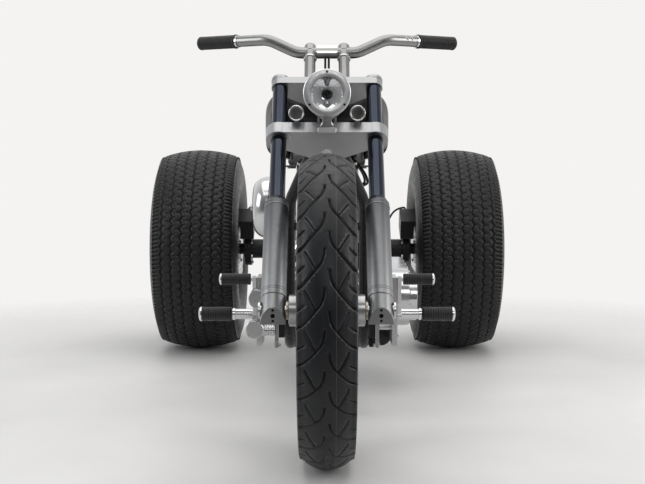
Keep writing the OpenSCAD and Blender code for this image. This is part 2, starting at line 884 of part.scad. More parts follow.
block_top = 30;
block_bottom = -44;
block_foot = 30;
block_face = 31;
shoulder_h = 9;
module fork_slider() color("silver")
    difference() {
        on_fork()
            translate([leg_x, 0, 0])
                difference() {
                    union() {
                        translate([0, 0, block_bottom])
                            cylinder(h = slider_top - shoulder_h - block_bottom, r = slider_r);
                        translate([0, 0, slider_top - shoulder_h])
                            cylinder(h = shoulder_h, r1 = slider_r, r2 = slider_r - 6);
                    }
                    translate([0, 0, tube_bottom - 1])
                        cylinder(h = slider_top - tube_bottom + 2, r = fork_tube_r + seat_gap);
                    x_cylinder(-slider_r - 1, slider_r + 1, front_axle_r + run_gap);
                    // Groove between the tube and the machined block at the axle
                    translate([0, 0, block_top])
                        rotate_extrude()
                            translate([slider_r, 0])
                                circle(r = 2);
                }
        translate([leg_x, front_y, front_tyre_r]) {
            // Level foot and upright front face of the block at the axle
            translate([-slider_r - 1, -100, -block_foot - 60])
                cube([2 * slider_r + 2, 200, 60]);
            translate([-slider_r - 1, -block_face - 60, -block_foot - 60])
                cube([2 * slider_r + 2, 60, 140]);
            // Three bolt wells in the front face
            for (well = [[-22, 3.2], [-10, 5.2], [3, 3.2]])
                translate([0, -block_face - 1, well[0]])
                    rotate([-90, 0, 0])
                        cylinder(h = 9, r = well[1]);
        }
    }

axle_head = 5;
front_hub_half = leg_x - slider_r - 7.5;
module front_axle() color("silver")
    translate([0, front_y, front_tyre_r]) {
        x_cylinder(-leg_x - slider_r - 4, leg_x + slider_r + 4, front_axle_r);
        both_sides() {
            x_cylinder(leg_x + slider_r + seat_gap, leg_x + slider_r + axle_head, front_axle_r + 7);
            x_cylinder(front_hub_half + 0.5, leg_x - slider_r - seat_gap, front_axle_r + 9);
        }
    }

bar_centre = fork_point(0, bar_offset, bar_s);
bar_bend = bar_centre + [168, 15, 39];
bar_end = bar_centre + [bar_half, 140, 43];
bar_path = [
    mirrored(bar_end), mirrored(bar_bend), bar_centre - [85, 0, 0],
    bar_centre + [85, 0, 0], bar_bend, bar_end
];
module handlebar() color("silver") {
    bent_bar(bar_path, bar_r, 60);
    on_fork()
        both_sides()
            translate([riser_spacing / 2, bar_offset, clamp_top]) {
                cylinder(h = bar_s - clamp_top - 20, r = riser_r);
                translate([-riser_r - 1, -bar_r - 6, bar_s - clamp_top - 26])
                    cube([2 * riser_r + 2, 2 * bar_r + 12, 52]);
            }
}

grip_way = unit(bar_end - bar_bend);
module grips() color([0.12, 0.12, 0.12])
    both_sides()
        difference() {
            rod(bar_end - grip_way * grip_len, bar_end + grip_way * 6, bar_r + grip_t);
            rod(bar_end - grip_way * (grip_len + 1), bar_end + grip_way * seat_gap, bar_r + seat_gap);
        }

clamp_front = fork_point(0, -14, lower_clamp_s + lower_clamp_t / 2);
headlight_y = clamp_front.y - 78;
headlight_z = clamp_front.z + headlight_rise;
lens_recess = 10;
bezel_t = 14;
// Turns a profile of radius and depth into a lamp whose face looks forwards
module facing_front(x, y, z)
    translate([x, y, z])
        rotate([-90, 0, 0])
            children();
module headlight() color("silver") {
    facing_front(0, headlight_y, headlight_z)
        difference() {
            union() {
                cylinder(h = bezel_t, r = headlight_r);
                cylinder(h = headlight_depth - 40, r = headlight_r - 5);
                translate([0, 0, headlight_depth - 40])
                    rotate_extrude()
                        intersection() {
                            translate([0, 40 - 62])
                                circle(r = 62);
                            square([headlight_r - 5, 40]);
                        }
            }
            translate([0, 0, -1])
                cylinder(h = lens_recess + 1, r = lens_r + seat_gap);
            translate([0, 0, lens_recess - 1])
                cylinder(h = 32, r1 = lens_r - 3, r2 = 12);
        }
    difference() {
        union() {
            translate([0, clamp_front.y - 6, headlight_z - headlight_r - 24])
                cylinder(h = 44, r = 9);
            translate([0, clamp_front.y - 6, clamp_front.z - 20])
                cylinder(h = headlight_z - headlight_r - clamp_front.z, r = 18);
        }
        on_fork()
            translate([-40, -100, lower_clamp_s - lower_clamp_t])
                cube([80, 200, lower_clamp_t * 1.5 + seat_gap]);
    }
}
module headlight_lens() color([0.8, 0.85, 0.9, 0.5])
    facing_front(0, headlight_y + 2, headlight_z)
        cylinder(h = lens_recess - 2 - seat_gap, r = lens_r);

signal_x = signal_spacing / 2;
signal_z = clamp_front.z + signal_r + 14;
module turn_signals() color("silver")
    both_sides() {
        facing_front(signal_x, clamp_front.y - 34, signal_z)
            cylinder(h = 32, r = signal_r);
        difference() {
            translate([signal_x, clamp_front.y - 14, clamp_front.z - 14])
                cylinder(h = signal_z - clamp_front.z, r = 6);
            on_fork()
                translate([0, -100, lower_clamp_s - lower_clamp_t])
                    cube([leg_x, 200, lower_clamp_t * 1.5 + seat_gap]);
        }
    }

wire_r = 3.2;
module bar_wires() color([0.08, 0.08, 0.08])
    for (x = [-5, 5])
        bent_bar([
            [x, bar_centre.y, bar_centre.z - bar_r - 1],
            [x, bar_centre.y - 12, bar_centre.z - 50],
            [x, headlight_y + headlight_depth + 48, headlight_z + 68],
            [x, headlight_y + headlight_depth + 26, headlight_z + 6],
            [x, headlight_y + headlight_depth + seat_gap, headlight_z]
        ], wire_r, 12);

// Wheels

flange_h = 10;
flange_t = 6;
// A tyre's section: crown arc, side arcs and a step for the rim's flange. X is the radius.
module front_tyre_section() {
    crown_r = 80;
    side_r = 90;
    difference() {
        intersection() {
            translate([front_tyre_r - crown_r, 0])
                circle(r = crown_r, $fn = 128);
            translate([front_tyre_r - 45, front_tyre_w / 2 - side_r])
                circle(r = side_r, $fn = 128);
            translate([front_tyre_r - 45, side_r - front_tyre_w / 2])
                circle(r = side_r, $fn = 128);
            translate([front_bead_r, -front_tyre_w])
                square([front_tyre_r, 2 * front_tyre_w]);
        }
        for (side = [-1, 1])
            translate([0, side * (front_rim_w / 2 + 20) - 20])
                square([front_bead_r + flange_h, 40]);
    }
}
module front_tyre() color([0.1, 0.1, 0.1])
    translate([0, front_y, front_tyre_r])
        rotate([0, 90, 0])
            rotate_extrude($fn = 128)
                front_tyre_section();

module rim_section(bead_r, rim_w, wall) {
    half = rim_w / 2;
    polygon([
        [bead_r - wall, -half - flange_t], [bead_r + flange_h - seat_gap, -half - flange_t],
        [bead_r + flange_h - seat_gap, -half - seat_gap], [bead_r - seat_gap, -half - seat_gap],
        [bead_r - seat_gap, half + seat_gap], [bead_r + flange_h - seat_gap, half + seat_gap],
        [bead_r + flange_h - seat_gap, half + flange_t], [bead_r - wall, half + flange_t]
    ]);
}
module front_rim() color("silver")
    translate([0, front_y, front_tyre_r])
        rotate([0, 90, 0])
            difference() {
                union() {
                    rotate_extrude($fn = 128)
                        rim_section(front_bead_r, front_rim_w, 12);
                    translate([0, 0, -front_hub_half])
                        cylinder(h = 2 * front_hub_half, r = front_hub_r - 8);
                    for (end = [-front_hub_half, front_hub_half - 16])
                        translate([0, 0, end])
                            cylinder(h = 16, r = front_hub_r);
                    for (i = [0:front_spokes - 1])
                        rotate(i * 360 / front_spokes)
                            translate([0, 0, -14])
                                linear_extrude(28)
                                    polygon([
                                        [front_hub_r - 14, -17], [front_bead_r - 8, -11],
                                        [front_bead_r - 8, 11], [front_hub_r - 14, 17]
                                    ]);
                    translate([0, 0, -22])
                        cylinder(h = 44, r = front_hub_r + 18);
                }
                translate([0, 0, -front_hub_half - 1])
                    cylinder(h = 2 * front_hub_half + 2, r = front_axle_r + run_gap);
            }

module rear_wheel_place(side)
    translate([0, rear_y, rear_tyre_r])
        mirror([side < 0 ? 1 : 0, 0, 0])
            translate([wheel_x, 0, 0])
                rotate([0, 90, 0])
                    children();
module rear_tyre_section() {
    crown_r = 900;
    bulge_r = 140;
    bulge_w = rear_tyre_w / 2 - bulge_r;
    difference() {
        intersection() {
            translate([rear_tyre_r - crown_r, 0])
                circle(r = crown_r, $fn = 512);
            union() {
                for (side = [-1, 1])
                    translate([rear_bead_r + 100, side * bulge_w])
                        circle(r = bulge_r, $fn = 128);
                translate([rear_bead_r, -bulge_w])
                    square([rear_tyre_r, 2 * bulge_w]);
            }
            translate([rear_bead_r, -rear_tyre_w])
                square([rear_tyre_r, 2 * rear_tyre_w]);
        }
        for (side = [-1, 1])
            translate([0, side * (rear_rim_w / 2 + 30) - 30])
                square([rear_bead_r + flange_h, 60]);
    }
}
module rear_tyre(side) color([0.1, 0.1, 0.1])
    rear_wheel_place(side)
        rotate_extrude($fn = 128)
            rear_tyre_section();

rear_face = 62;
module rear_rim(side) color("silver")
    rear_wheel_place(side)
        difference() {
            union() {
                rotate_extrude($fn = 128)
                    rim_section(rear_bead_r, rear_rim_w, 12);
                translate([0, 0, hub_in - wheel_x])
                    cylinder(h = rear_face + wheel_x - hub_in, r = 46);
                translate([0, 0, rear_face - 18])
                    cylinder(h = 30, r = 74);
                translate([0, 0, rear_face + 12])
                    cylinder(h = 26, r = 34);
                for (i = [0:rear_spokes - 1])
                    rotate(i * 360 / rear_spokes)
                        translate([0, 0, rear_face - 20])
                            linear_extrude(26)
                                polygon([
                                    [60, -32], [rear_bead_r - 8, -24],
                                    [rear_bead_r - 8, 24], [60, 32]
                                ]);
            }
            translate([0, 0, -wheel_x])
                cylinder(h = spindle_end + 2, r = spindle_r + run_gap);
        }

module brake_disc(side) color("silver")
    rear_wheel_place(side)
        translate([0, 0, disc_x - wheel_x])
            difference() {
                cylinder(h = disc_t, r = disc_r);
                translate([0, 0, -1])
                    cylinder(h = disc_t + 2, r = spindle_r + 8);
            }

frame_backbone();
frame_cradle();
frame_rear();
fuel_tank();
fuel_cap();
seat_pan();
seat();
crankcase();
cylinder_barrel(1);  // cylinder_front
cylinder_barrel(-1);  // cylinder_rear
rocker_boxes();
pushrod_tubes();
cam_cover();
air_cleaner();
primary_cover();
gearbox();
drive_belt();
exhaust_front();
exhaust_rear();
oil_tank();
oil_filter();
axle_housing();
brake_calipers();
foot_controls();
foot_pegs();
tail_light();
number_plate();
steering_stem();
upper_clamp();
lower_clamp();
fork_tubes();
fork_slider();  // fork_slider_left
mirror([1, 0, 0]) fork_slider();  // fork_slider_right
front_axle();
handlebar();
grips();
headlight();
headlight_lens();
turn_signals();
bar_wires();
front_tyre();
front_rim();
rear_tyre(1);  // rear_tyre_left
rear_rim(1);  // rear_rim_left
brake_disc(1);  // brake_disc_left
rear_tyre(-1);  // rear_tyre_right
rear_rim(-1);  // rear_rim_right
brake_disc(-1);  // brake_disc_right
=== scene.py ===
import math

import bmesh
import bpy
import numpy as np
from mathutils import Matrix, Vector, geometry


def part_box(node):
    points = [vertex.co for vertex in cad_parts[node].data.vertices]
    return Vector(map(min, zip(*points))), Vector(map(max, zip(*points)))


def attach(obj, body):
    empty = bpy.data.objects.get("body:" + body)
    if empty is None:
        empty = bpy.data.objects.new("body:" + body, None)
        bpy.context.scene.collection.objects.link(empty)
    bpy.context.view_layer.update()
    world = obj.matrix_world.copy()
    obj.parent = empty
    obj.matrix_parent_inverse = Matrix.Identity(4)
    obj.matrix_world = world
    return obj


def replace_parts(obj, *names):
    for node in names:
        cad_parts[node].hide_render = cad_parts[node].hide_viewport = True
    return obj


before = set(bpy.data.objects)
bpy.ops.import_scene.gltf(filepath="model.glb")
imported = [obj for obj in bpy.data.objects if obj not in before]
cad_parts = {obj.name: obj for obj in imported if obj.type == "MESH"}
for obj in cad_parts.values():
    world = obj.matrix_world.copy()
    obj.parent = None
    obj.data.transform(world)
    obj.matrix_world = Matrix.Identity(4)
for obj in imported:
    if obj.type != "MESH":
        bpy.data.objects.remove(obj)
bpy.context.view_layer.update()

# ---------------------------------------------------------------------------
# Studio: the camera stands low in front of the trike on a pale floor that fades
# into a pale backdrop. Large soft lights hang at both sides and overhead, and
# the side behind the camera is left dim, so that bare metal shows its shape.

camera_data = bpy.data.cameras.new("camera")
camera_data.lens = 63.16
camera_data.sensor_width = 36.0
camera_data.clip_end = 60.0
camera_data.shift_x = -0.007
camera = bpy.data.objects.new("camera", camera_data)
camera.location = (0, -3.608, 0.69)
camera.rotation_euler = (math.radians(90 - 3.41), 0, 0)
bpy.context.scene.collection.objects.link(camera)
bpy.context.scene.camera = camera
bpy.context.scene.view_settings.view_transform = "Standard"
warm, cold = (1.0, 0.99, 0.97), (0.97, 0.98, 1.0)
for name, place, aim, size, power, colour in (
    ("overhead", (0, -0.4, 3.6), (0, 0, 0), (3.4, 4.2), 62, warm),
    ("left_bank", (-3.4, -1.2, 1.9), (0, -0.3, 0.5), (1.6, 2.2), 40, cold),
    ("right_bank", (3.4, -1.2, 1.9), (0, -0.3, 0.5), (1.6, 2.2), 46, warm),
    ("front_fill", (0.4, -4.6, 2.6), (0, -0.6, 0.5), (2.2, 1.0), 20, (1, 1, 1)),
):
    light = bpy.data.lights.new(name, "AREA")
    light.shape = "RECTANGLE"
    light.size, light.size_y = size
    light.energy = power
    light.color = colour
    holder = bpy.data.objects.new(name, light)
    holder.location = place
    holder.rotation_euler = (Vector(aim) - Vector(place)).to_track_quat("-Z", "Y").to_euler()
    bpy.context.scene.collection.objects.link(holder)


def link(tree, source, target):
    """Joins two sockets of a node tree."""
    tree.links.new(source, target)


def coordinate(tree, where, axis):
    """One of the X, Y and Z parts of a vector socket."""
    split = tree.nodes.new("ShaderNodeSeparateXYZ")
    link(tree, where, split.inputs[0])
    return split.outputs[axis]


def add_range(tree, value, low, high, out_low, out_high):
    """Maps a value from low..high to out_low..out_high."""
    node = tree.nodes.new("ShaderNodeMapRange")
    for socket, number in zip(("From Min", "From Max", "To Min", "To Max"), (low, high, out_low, out_high)):
        node.inputs[socket].default_value = number
    link(tree, value, node.inputs["Value"])
    return node.outputs[0]


def blend(tree, share, first, second):
    """A shader between two others, by a share from 0 to 1."""
    node = tree.nodes.new("ShaderNodeMixShader")
    for socket, source in zip(node.inputs, (share, first, second)):
        link(tree, source, socket)
    return node.outputs[0]


world = bpy.data.worlds.new("studio")
bpy.context.scene.world = world
world.use_nodes = True
tree = world.node_tree
tree.nodes.clear()
direction = tree.nodes.new("ShaderNodeTexCoord").outputs["Generated"]
room = tree.nodes.new("ShaderNodeBackground")
link(tree, add_range(tree, coordinate(tree, direction, "Y"), -0.9, 0.7, 0.16, 0.9), room.inputs["Color"])
backdrop = tree.nodes.new("ShaderNodeBackground")
backdrop.inputs["Color"].default_value = (0.905, 0.895, 0.88, 1)
seen = tree.nodes.new("ShaderNodeLightPath").outputs["Is Camera Ray"]
both = blend(tree, seen, room.outputs[0], backdrop.outputs[0])
link(tree, both, tree.nodes.new("ShaderNodeOutputWorld").inputs["Surface"])


def new_material(name):
    """A material with an empty Principled shader, with its tree, shader and Object coordinates."""
    made = bpy.data.materials.new(name)
    made.use_nodes = True
    nodes = made.node_tree.nodes
    coordinates = nodes.new("ShaderNodeTexCoord")
    return made, made.node_tree, nodes["Principled BSDF"], coordinates.outputs["Object"]


def add_noise(tree, where, scale, detail=3.0, stretch=(1, 1, 1)):
    """Noise over the given coordinates, with its own stretch along each axis."""
    mapping = tree.nodes.new("ShaderNodeMapping")
    mapping.inputs["Scale"].default_value = stretch
    noise = tree.nodes.new("ShaderNodeTexNoise")
    noise.inputs["Scale"].default_value = scale
    noise.inputs["Detail"].default_value = detail
    link(tree, where, mapping.inputs["Vector"])
    link(tree, mapping.outputs[0], noise.inputs["Vector"])
    return noise.outputs["Fac"]


def add_mix(tree, share, first, second):
    """A colour between two others, by a share from 0 to 1; each is a colour or a socket."""
    node = tree.nodes.new("ShaderNodeMix")
    node.data_type = "RGBA"
    link(tree, share, node.inputs[0])
    for socket, colour in ((node.inputs[6], first), (node.inputs[7], second)):
        if isinstance(colour, tuple):
            socket.default_value = (*colour, 1)
        else:
            link(tree, colour, socket)
    return node.outputs[2]


def mottle(tree, where, scale, detail, low, high, first, second):
    """A colour that noise takes from one tone to another, between two of its levels."""
    share = add_range(tree, add_noise(tree, where, scale, detail), low, high, 0, 1)
    return add_mix(tree, share, first, second)


def vary_roughness(tree, shader, where, scale, detail, low, high):
    """Roughness that follows noise from a low to a high value."""
    level = add_range(tree, add_noise(tree, where, scale, detail), 0.3, 0.7, low, high)
    link(tree, level, shader.inputs["Roughness"])


def add_bump(tree, shader, height, strength, distance):
    """Bump of a height, at a strength and a depth in metres."""
    node = tree.nodes.new("ShaderNodeBump")
    node.inputs["Strength"].default_value = strength
    node.inputs["Distance"].default_value = distance
    link(tree, height, node.inputs["Height"])
    link(tree, node.outputs[0], shader.inputs["Normal"])


def add_object(name, mesh):
    """Puts a mesh into the scene as an object at the origin."""
    made = bpy.data.objects.new(name, mesh)
    bpy.context.scene.collection.objects.link(made)
    return made


def grid_faces(rows, columns, wrap_rows=False, wrap_columns=False):
    """Quads between neighbours of a grid stored row by row; a wrapped side joins its last line to its
    first."""
    r = np.arange(rows if wrap_rows else rows - 1)
    c = np.arange(columns if wrap_columns else columns - 1)
    r, c = (a.ravel() for a in np.meshgrid(r, c, indexing="ij"))
    r2, c2 = (r + 1) % rows, (c + 1) % columns
    return np.stack([r * columns + c, r * columns + c2, r2 * columns + c2, r2 * columns + c], 1)


def fill_mesh(name, points, faces):
    """A mesh from an array of points and an array of faces that all have as many corners."""
    mesh = bpy.data.meshes.new(name)
    mesh.vertices.add(len(points))
    mesh.vertices.foreach_set("co", np.asarray(points, np.float32).ravel())
    mesh.loops.add(faces.size)
    mesh.loops.foreach_set("vertex_index", faces.astype(np.int32).ravel())
    mesh.polygons.add(len(faces))
    mesh.polygons.foreach_set("loop_start", np.arange(0, faces.size, faces.shape[1], dtype=np.int32))
    mesh.polygons.foreach_set("use_smooth", np.ones(len(faces), bool))
    mesh.update(calc_edges=True)
    return mesh


def circle(count):
    """Angles evenly round a circle, from 0."""
    return np.linspace(0, 2 * np.pi, count, endpoint=False)


floor_reach, floor_rings, floor_sides = 7.0, 24, 64
floor_radii = np.linspace(0.0, 1.0, floor_rings) ** 1.5 * floor_reach
ring, turn = np.meshgrid(floor_radii, circle(floor_sides), indexing="ij")
points = np.stack([ring * np.cos(turn), ring * np.sin(turn), 0 * ring], 2).reshape(-1, 3)
floor = add_object("floor", fill_mesh("floor", points, grid_faces(floor_rings, floor_sides, False, True)))
floor_paint, tree, shader, where = new_material("floor_paint")
shader.inputs["Roughness"].default_value = 0.55
tones = mottle(tree, where, 1.3, 5.0, 0.35, 0.65, (0.66, 0.655, 0.65), (0.74, 0.735, 0.73))
link(tree, tones, shader.inputs["Base Color"])
distance = tree.nodes.new("ShaderNodeVectorMath")
distance.operation = "LENGTH"
link(tree, where, distance.inputs[0])
fade = add_range(tree, distance.outputs["Value"], 1.3, 3.0, 0, 1)
clear = tree.nodes.new("ShaderNodeBsdfTransparent").outputs[0]
link(tree, blend(tree, fade, shader.outputs[0], clear), tree.nodes["Material Output"].inputs["Surface"])
floor.data.materials.append(floor_paint)

# ---------------------------------------------------------------------------
# Front tyre: a narrow road tyre of black rubber on a large rim. Its moulded tread
# repeats all the way round: on each side of a smooth centre band a curved groove and a
# straight one meet, a long one runs on to the shoulder, and a short slit lies between.


def length_along(points):
    """Distance along a line of points, from its first to each of them."""
    return np.concatenate([[0], np.cumsum(np.linalg.norm(np.diff(points, axis=0), axis=1))])


def resample(points, spacing):
    """Points at even spacing along a line of points."""
    points = np.asarray(points, float)
    s = length_along(points)
    t = np.linspace(0, s[-1], max(2, int(round(s[-1] / spacing)) + 1))
    return np.stack([np.interp(t, s, points[:, i]) for i in range(points.shape[1])], 1)


def nearest_groove(points, strokes, pitch):
    """How deep the nearest stroke cuts each point: full depth on its floor, sloping to none at its edge."""
    slope_share = 0.45
    depth = np.zeros(len(points))
    for line, half, deep in strokes:
        line = np.asarray(line, float)
        near = np.full(len(points), 1e9)
        for shift in (-pitch, 0, pitch):
            a, b = line[:-1] + (0, shift), line[1:] + (0, shift)
            ab, ap = b - a, points[:, None, :] - a
            t = np.clip((ap * ab).sum(2) / (ab * ab).sum(1), 0, 1)
            near = np.minimum(near, np.linalg.norm(ap - t[..., None] * ab, axis=2).min(1))
        depth = np.maximum(depth, deep * np.clip((half - near) / (slope_share * half), 0, 1))
    return depth


def stroke_points(line, half, spacing):
    """The edges of a groove and of its floor: its line pushed sideways, with a half circle at both ends."""
    floor_edge, edge = 0.52, 1.02
    line = resample(line, spacing)
    along = np.gradient(line, axis=0)
    along /= np.linalg.norm(along, axis=1)[:, None]
    across = np.stack([-along[:, 1], along[:, 0]], 1)
    sides = [line + across * half * k for k in (-edge, -floor_edge, floor_edge, edge)]
    turns = np.linspace(-np.pi / 2, np.pi / 2, 5)[1:-1, None]
    for end, sign in ((0, -1), (-1, 1)):
        for k in (floor_edge, edge):
            round_end = sign * np.cos(turns) * along[end] + np.sin(turns) * across[end]
            sides.append(line[end] + round_end * half * k)
    return np.concatenate(sides)


def tyre_mesh(name, section, strokes, count, axle, tread_half, spacing, coarse, seed):
    """A tyre as a closed ring: one pitch of the tread is triangulated on the flat, in distance along the
    section and round the crown, and repeated round the axle. section is the loop of (x, radius) points
    from the crown; a point that lies in a groove is pushed in along the section's normal."""
    loop = np.concatenate([section, section[:1]])
    s = length_along(loop)
    total, crown = s[-1], section[0][1]
    pitch = 2 * np.pi * crown / count
    rng = np.random.default_rng(seed)
    base = [stroke_points(line, half, spacing) for line, half, _ in strokes]
    bands = ((-tread_half, tread_half, coarse), (tread_half, total - tread_half, 2.2 * coarse))
    for low, high, step in bands:
        rows = max(3, round(pitch / step))
        u, v = np.arange(low + step / 2, high, step), (np.arange(rows) + 0.5) * pitch / rows
        grid = np.meshgrid(u, v, indexing="ij")
        spots = np.stack(grid, 2).reshape(-1, 2)
        spots += rng.uniform(-0.16, 0.16, spots.shape) * step
        if low < 0:
            wide = [(line, half + 0.3 * coarse, 1.0) for line, half, _ in strokes]
            spots = spots[nearest_groove(spots, wide, pitch) == 0]
        base.append(spots)
    base = np.concatenate(base)
    base[:, 0] = (base[:, 0] + total / 2) % total - total / 2
    base[:, 1] %= pitch
    base = base[np.unique(np.round(base / 0.0004).astype(int), axis=0, return_index=True)[1]]
    depth = nearest_groove(base, strokes, pitch)
    copies, index, shifts = [], [], []
    for shift_v in (-1, 0, 1):
        for shift_u in (-1, 0, 1):
            moved = base + (shift_u * total, shift_v * pitch)
            keep = (abs(moved[:, 0]) < total / 2 + 0.06) & (abs(moved[:, 1] - pitch / 2) < pitch / 2 + 0.03)
            copies.append(moved[keep])
            index.append(np.flatnonzero(keep))
            shifts.append(np.full(keep.sum(), shift_v))
    copies, index, shifts = (np.concatenate(a) for a in (copies, index, shifts))
    found = geometry.delaunay_2d_cdt([Vector(p) for p in copies.tolist()], [], [], 0, 1e-9)
    original = np.array([ids[0] for ids in found[3]])
    faces = original[np.array(found[2])]
    middle = copies[faces].mean(1)
    faces = faces[(abs(middle[:, 0]) <= total / 2) & (middle[:, 1] >= 0) & (middle[:, 1] < pitch)]
    turn = np.arange(count)[:, None, None]
    faces = ((turn + shifts[faces]) % count) * len(base) + index[faces]
    u, v = base[:, 0] % total, base[:, 1]
    x, radius = (np.interp(u, s, loop[:, i]) for i in (0, 1))
    ahead, behind = ((u + d) % total for d in (0.001, -0.001))
    dx, dr = (np.interp(ahead, s, loop[:, i]) - np.interp(behind, s, loop[:, i]) for i in (0, 1))
    size = np.hypot(dx, dr)
    x, radius = x + dr / size * depth, radius - dx / size * depth
    angle = (np.arange(count)[:, None] * pitch + v) / crown
    points = np.stack([x + 0 * angle, axle[0] + radius * np.cos(angle), axle[1] + radius * np.sin(angle)], 2)
    return fill_mesh(name, points.reshape(-1, 3), faces.reshape(-1, 3)[:, ::-1])


def arc(centre, radius, start, stop, steps):
    """Points on a circle from one angle to another, in degrees."""
    t = np.radians(np.linspace(start, stop, steps))
    return np.stack([centre[0] + radius * np.cos(t), centre[1] + radius * np.sin(t)], 1)


def both_ways(half_loop):
    """Closes a half section, given from the crown to the middle of the inside, with its mirror image."""
    return np.concatenate([half_loop, half_loop[-2:0:-1] * (-1, 1)])


def add_math(tree, operation, *values):
    """One step of arithmetic on sockets or numbers."""
    node = tree.nodes.new("ShaderNodeMath")
    node.operation = operation
    for socket, value in zip(node.inputs, values):
        if isinstance(value, (int, float)):
            socket.default_value = value
        else:
            link(tree, value, socket)
    return node.outputs[0]


def rubber(name, colour, worn, stripe=None):
    """Black rubber, mottled with dust, with a fine grain; stripe is the X of a brown moulding line."""
    made, tree, shader, where = new_material(name)
    shade = mottle(tree, where, 9, 5.0, 0.3, 0.7, colour, worn)
    if stripe is not None:
        line = add_math(tree, "COMPARE", coordinate(tree, where, "X"), stripe, 0.0005)
        shade = add_mix(tree, line, shade, (0.075, 0.062, 0.045))
    link(tree, shade, shader.inputs["Base Color"])
    vary_roughness(tree, shader, where, 60, 2.0, 0.34, 0.5)
    shader.inputs["Specular IOR Level"].default_value = 0.3
    add_bump(tree, shader, add_noise(tree, where, 900, 2.0), 0.12, 0.0004)
    return made


low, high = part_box("front_tyre")
front_axle = ((low.y + high.y) / 2, (low.z + high.z) / 2)
front_radius = (high.z - low.z) / 2
front_half = (high.x - low.x) / 2
crown_arc, side_arc = 0.08, 0.09
front_bead = 0.292
# The crown's arc turns into the side's where the two circles meet
side_centre = (front_half - side_arc, front_radius - 0.045)
meet_x = 0.0547
meet_r = front_radius - crown_arc + math.sqrt(crown_arc**2 - meet_x**2)
start = math.degrees(math.atan2(meet_r - side_centre[1], meet_x - side_centre[0]))
half_section = np.concatenate([
    arc((0, front_radius - crown_arc), crown_arc, 90, math.degrees(math.acos(meet_x / crown_arc)), 14),
    arc(side_centre, side_arc, start, -16, 12)[1:],
    [(0.049, front_bead + 0.011), (0.047, front_bead + 0.001), (0.03, front_bead), (0.0, front_bead)],
])
front_pitches = 27
pitch = 2 * math.pi * front_radius / front_pitches
curved = [(0.005, -0.044), (0.0058, -0.034), (0.0085, -0.022), (0.0135, -0.011), (0.0228, -0.0005)]
straight = [(0.0485, -0.042), (0.0246, -0.0012)]
running = [(0.0236, 0.0008), (0.034, 0.0125), (0.048, 0.026), (0.064, 0.037), (0.074, 0.042)]
slit = [(0.0505, -0.0105), (0.069, 0.002)]
# Each groove has its line, half its width and its depth; the right side's stand half a pitch on
cuts = (
    (curved, 0.0027, 0.0055), (straight, 0.002, 0.0045), (running, 0.0027, 0.0055), (slit, 0.0015, 0.004))
grooves = [(np.array(line) * (side, 1) + (0, offset), half, deep)
           for side, offset in ((-1, 0.0), (1, 0.53 * pitch)) for line, half, deep in cuts]
front_profile = both_ways(half_section)
front_tread = tyre_mesh("front_tyre_tread", front_profile, grooves, front_pitches, front_axle, 0.082, 0.0027,
                        0.0062, 4)
front_tyre = add_object("front_tyre_tread", front_tread)
front_rubber = rubber("front_tyre_rubber", (0.0055, 0.0064, 0.0084), (0.011, 0.012, 0.0142), 0.0195)
front_tyre.data.materials.append(front_rubber)
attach(front_tyre, "front_wheel")
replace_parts(front_tyre, "front_tyre")

# ---------------------------------------------------------------------------
# Rear tyres: low, very wide balloon tyres. Seven zigzag grooves part the tread into ribs,
# short slits run into each rib from its edges, and both shoulders carry cross ribs.

wheel_sides = ((1, "left"), (-1, "right"))
rear_pitches, rib_width = 76, 0.038
bulge, crown_r, rear_bead = 0.14, 0.42, 0.19
for side, name in wheel_sides:
    low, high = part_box("rear_tyre_" + name)
    rear_axle = ((low.y + high.y) / 2, (low.z + high.z) / 2)
    rear_radius = (high.z - low.z) / 2
    rear_half = (high.x - low.x) / 2
    crown = arc((0, rear_radius - crown_r), crown_r, 90, 90 - math.degrees(math.asin(0.136 / crown_r)), 12)
    round_side = arc((rear_half - bulge, rear_bead + 0.1), bulge, 31, -38, 18)
    shoulder = np.array([(0.1485, crown[-1][1] - 0.011)])
    inner = [(rear_half - 0.048, rear_bead + 0.011), (0.117, rear_bead + 0.001), (0.06, rear_bead),
             (0, rear_bead)]
    rear_section = both_ways(np.concatenate([crown, shoulder, round_side, inner]))
    pitch = 2 * math.pi * rear_radius / rear_pitches
    grooves = []
    for i in range(-3, 4):
        u = rib_width * i
        zigzag = [(u - 0.0028, -0.02 * pitch), (u - 0.003, 0.2 * pitch), (u + 0.0028, 0.34 * pitch),
                  (u + 0.003, 0.66 * pitch), (u - 0.0028, 0.8 * pitch), (u - 0.0028, 0.98 * pitch)]
        grooves.append((zigzag, 0.0026, 0.006))
        if i < 3:
            grooves.append(([(u + 0.0055, 0.5 * pitch), (u + 0.0175, 0.5 * pitch)], 0.0012, 0.004))
        if i > -3:
            grooves.append(([(u - 0.0175, 0.02 * pitch), (u - 0.0055, 0.02 * pitch)], 0.0012, 0.004))
    for edge in (-1, 1):
        for step in (0.08, 0.58):
            cross_rib = [(edge * 0.125, step * pitch), (edge * 0.158, (step + 0.1) * pitch)]
            grooves.append((cross_rib, 0.002, 0.005))
    mesh = tyre_mesh("rear_tread_" + name, rear_section, grooves, rear_pitches, rear_axle, 0.166, 0.0042,
                     0.0085, 7)
    mesh.transform(Matrix.Translation(((low.x + high.x) / 2, 0, 0)))
    tyre = add_object("rear_tyre_tread_" + name, mesh)
    rear_rubber = rubber("rear_tyre_rubber_" + name, (0.007, 0.0072, 0.0076), (0.012, 0.0123, 0.0128))
    tyre.data.materials.append(rear_rubber)
    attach(tyre, "rear_wheel_" + name)
    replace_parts(tyre, "rear_tyre_" + name)

# ---------------------------------------------------------------------------
# Front wheel: a satin alloy rim with spokes turns on the fork's axle. A rubber valve
# stands in its rim, and turned rings close both of the hub's flanges. Here and below,
# places are in metres; profiles, outlines, thicknesses and screws are in millimetres.


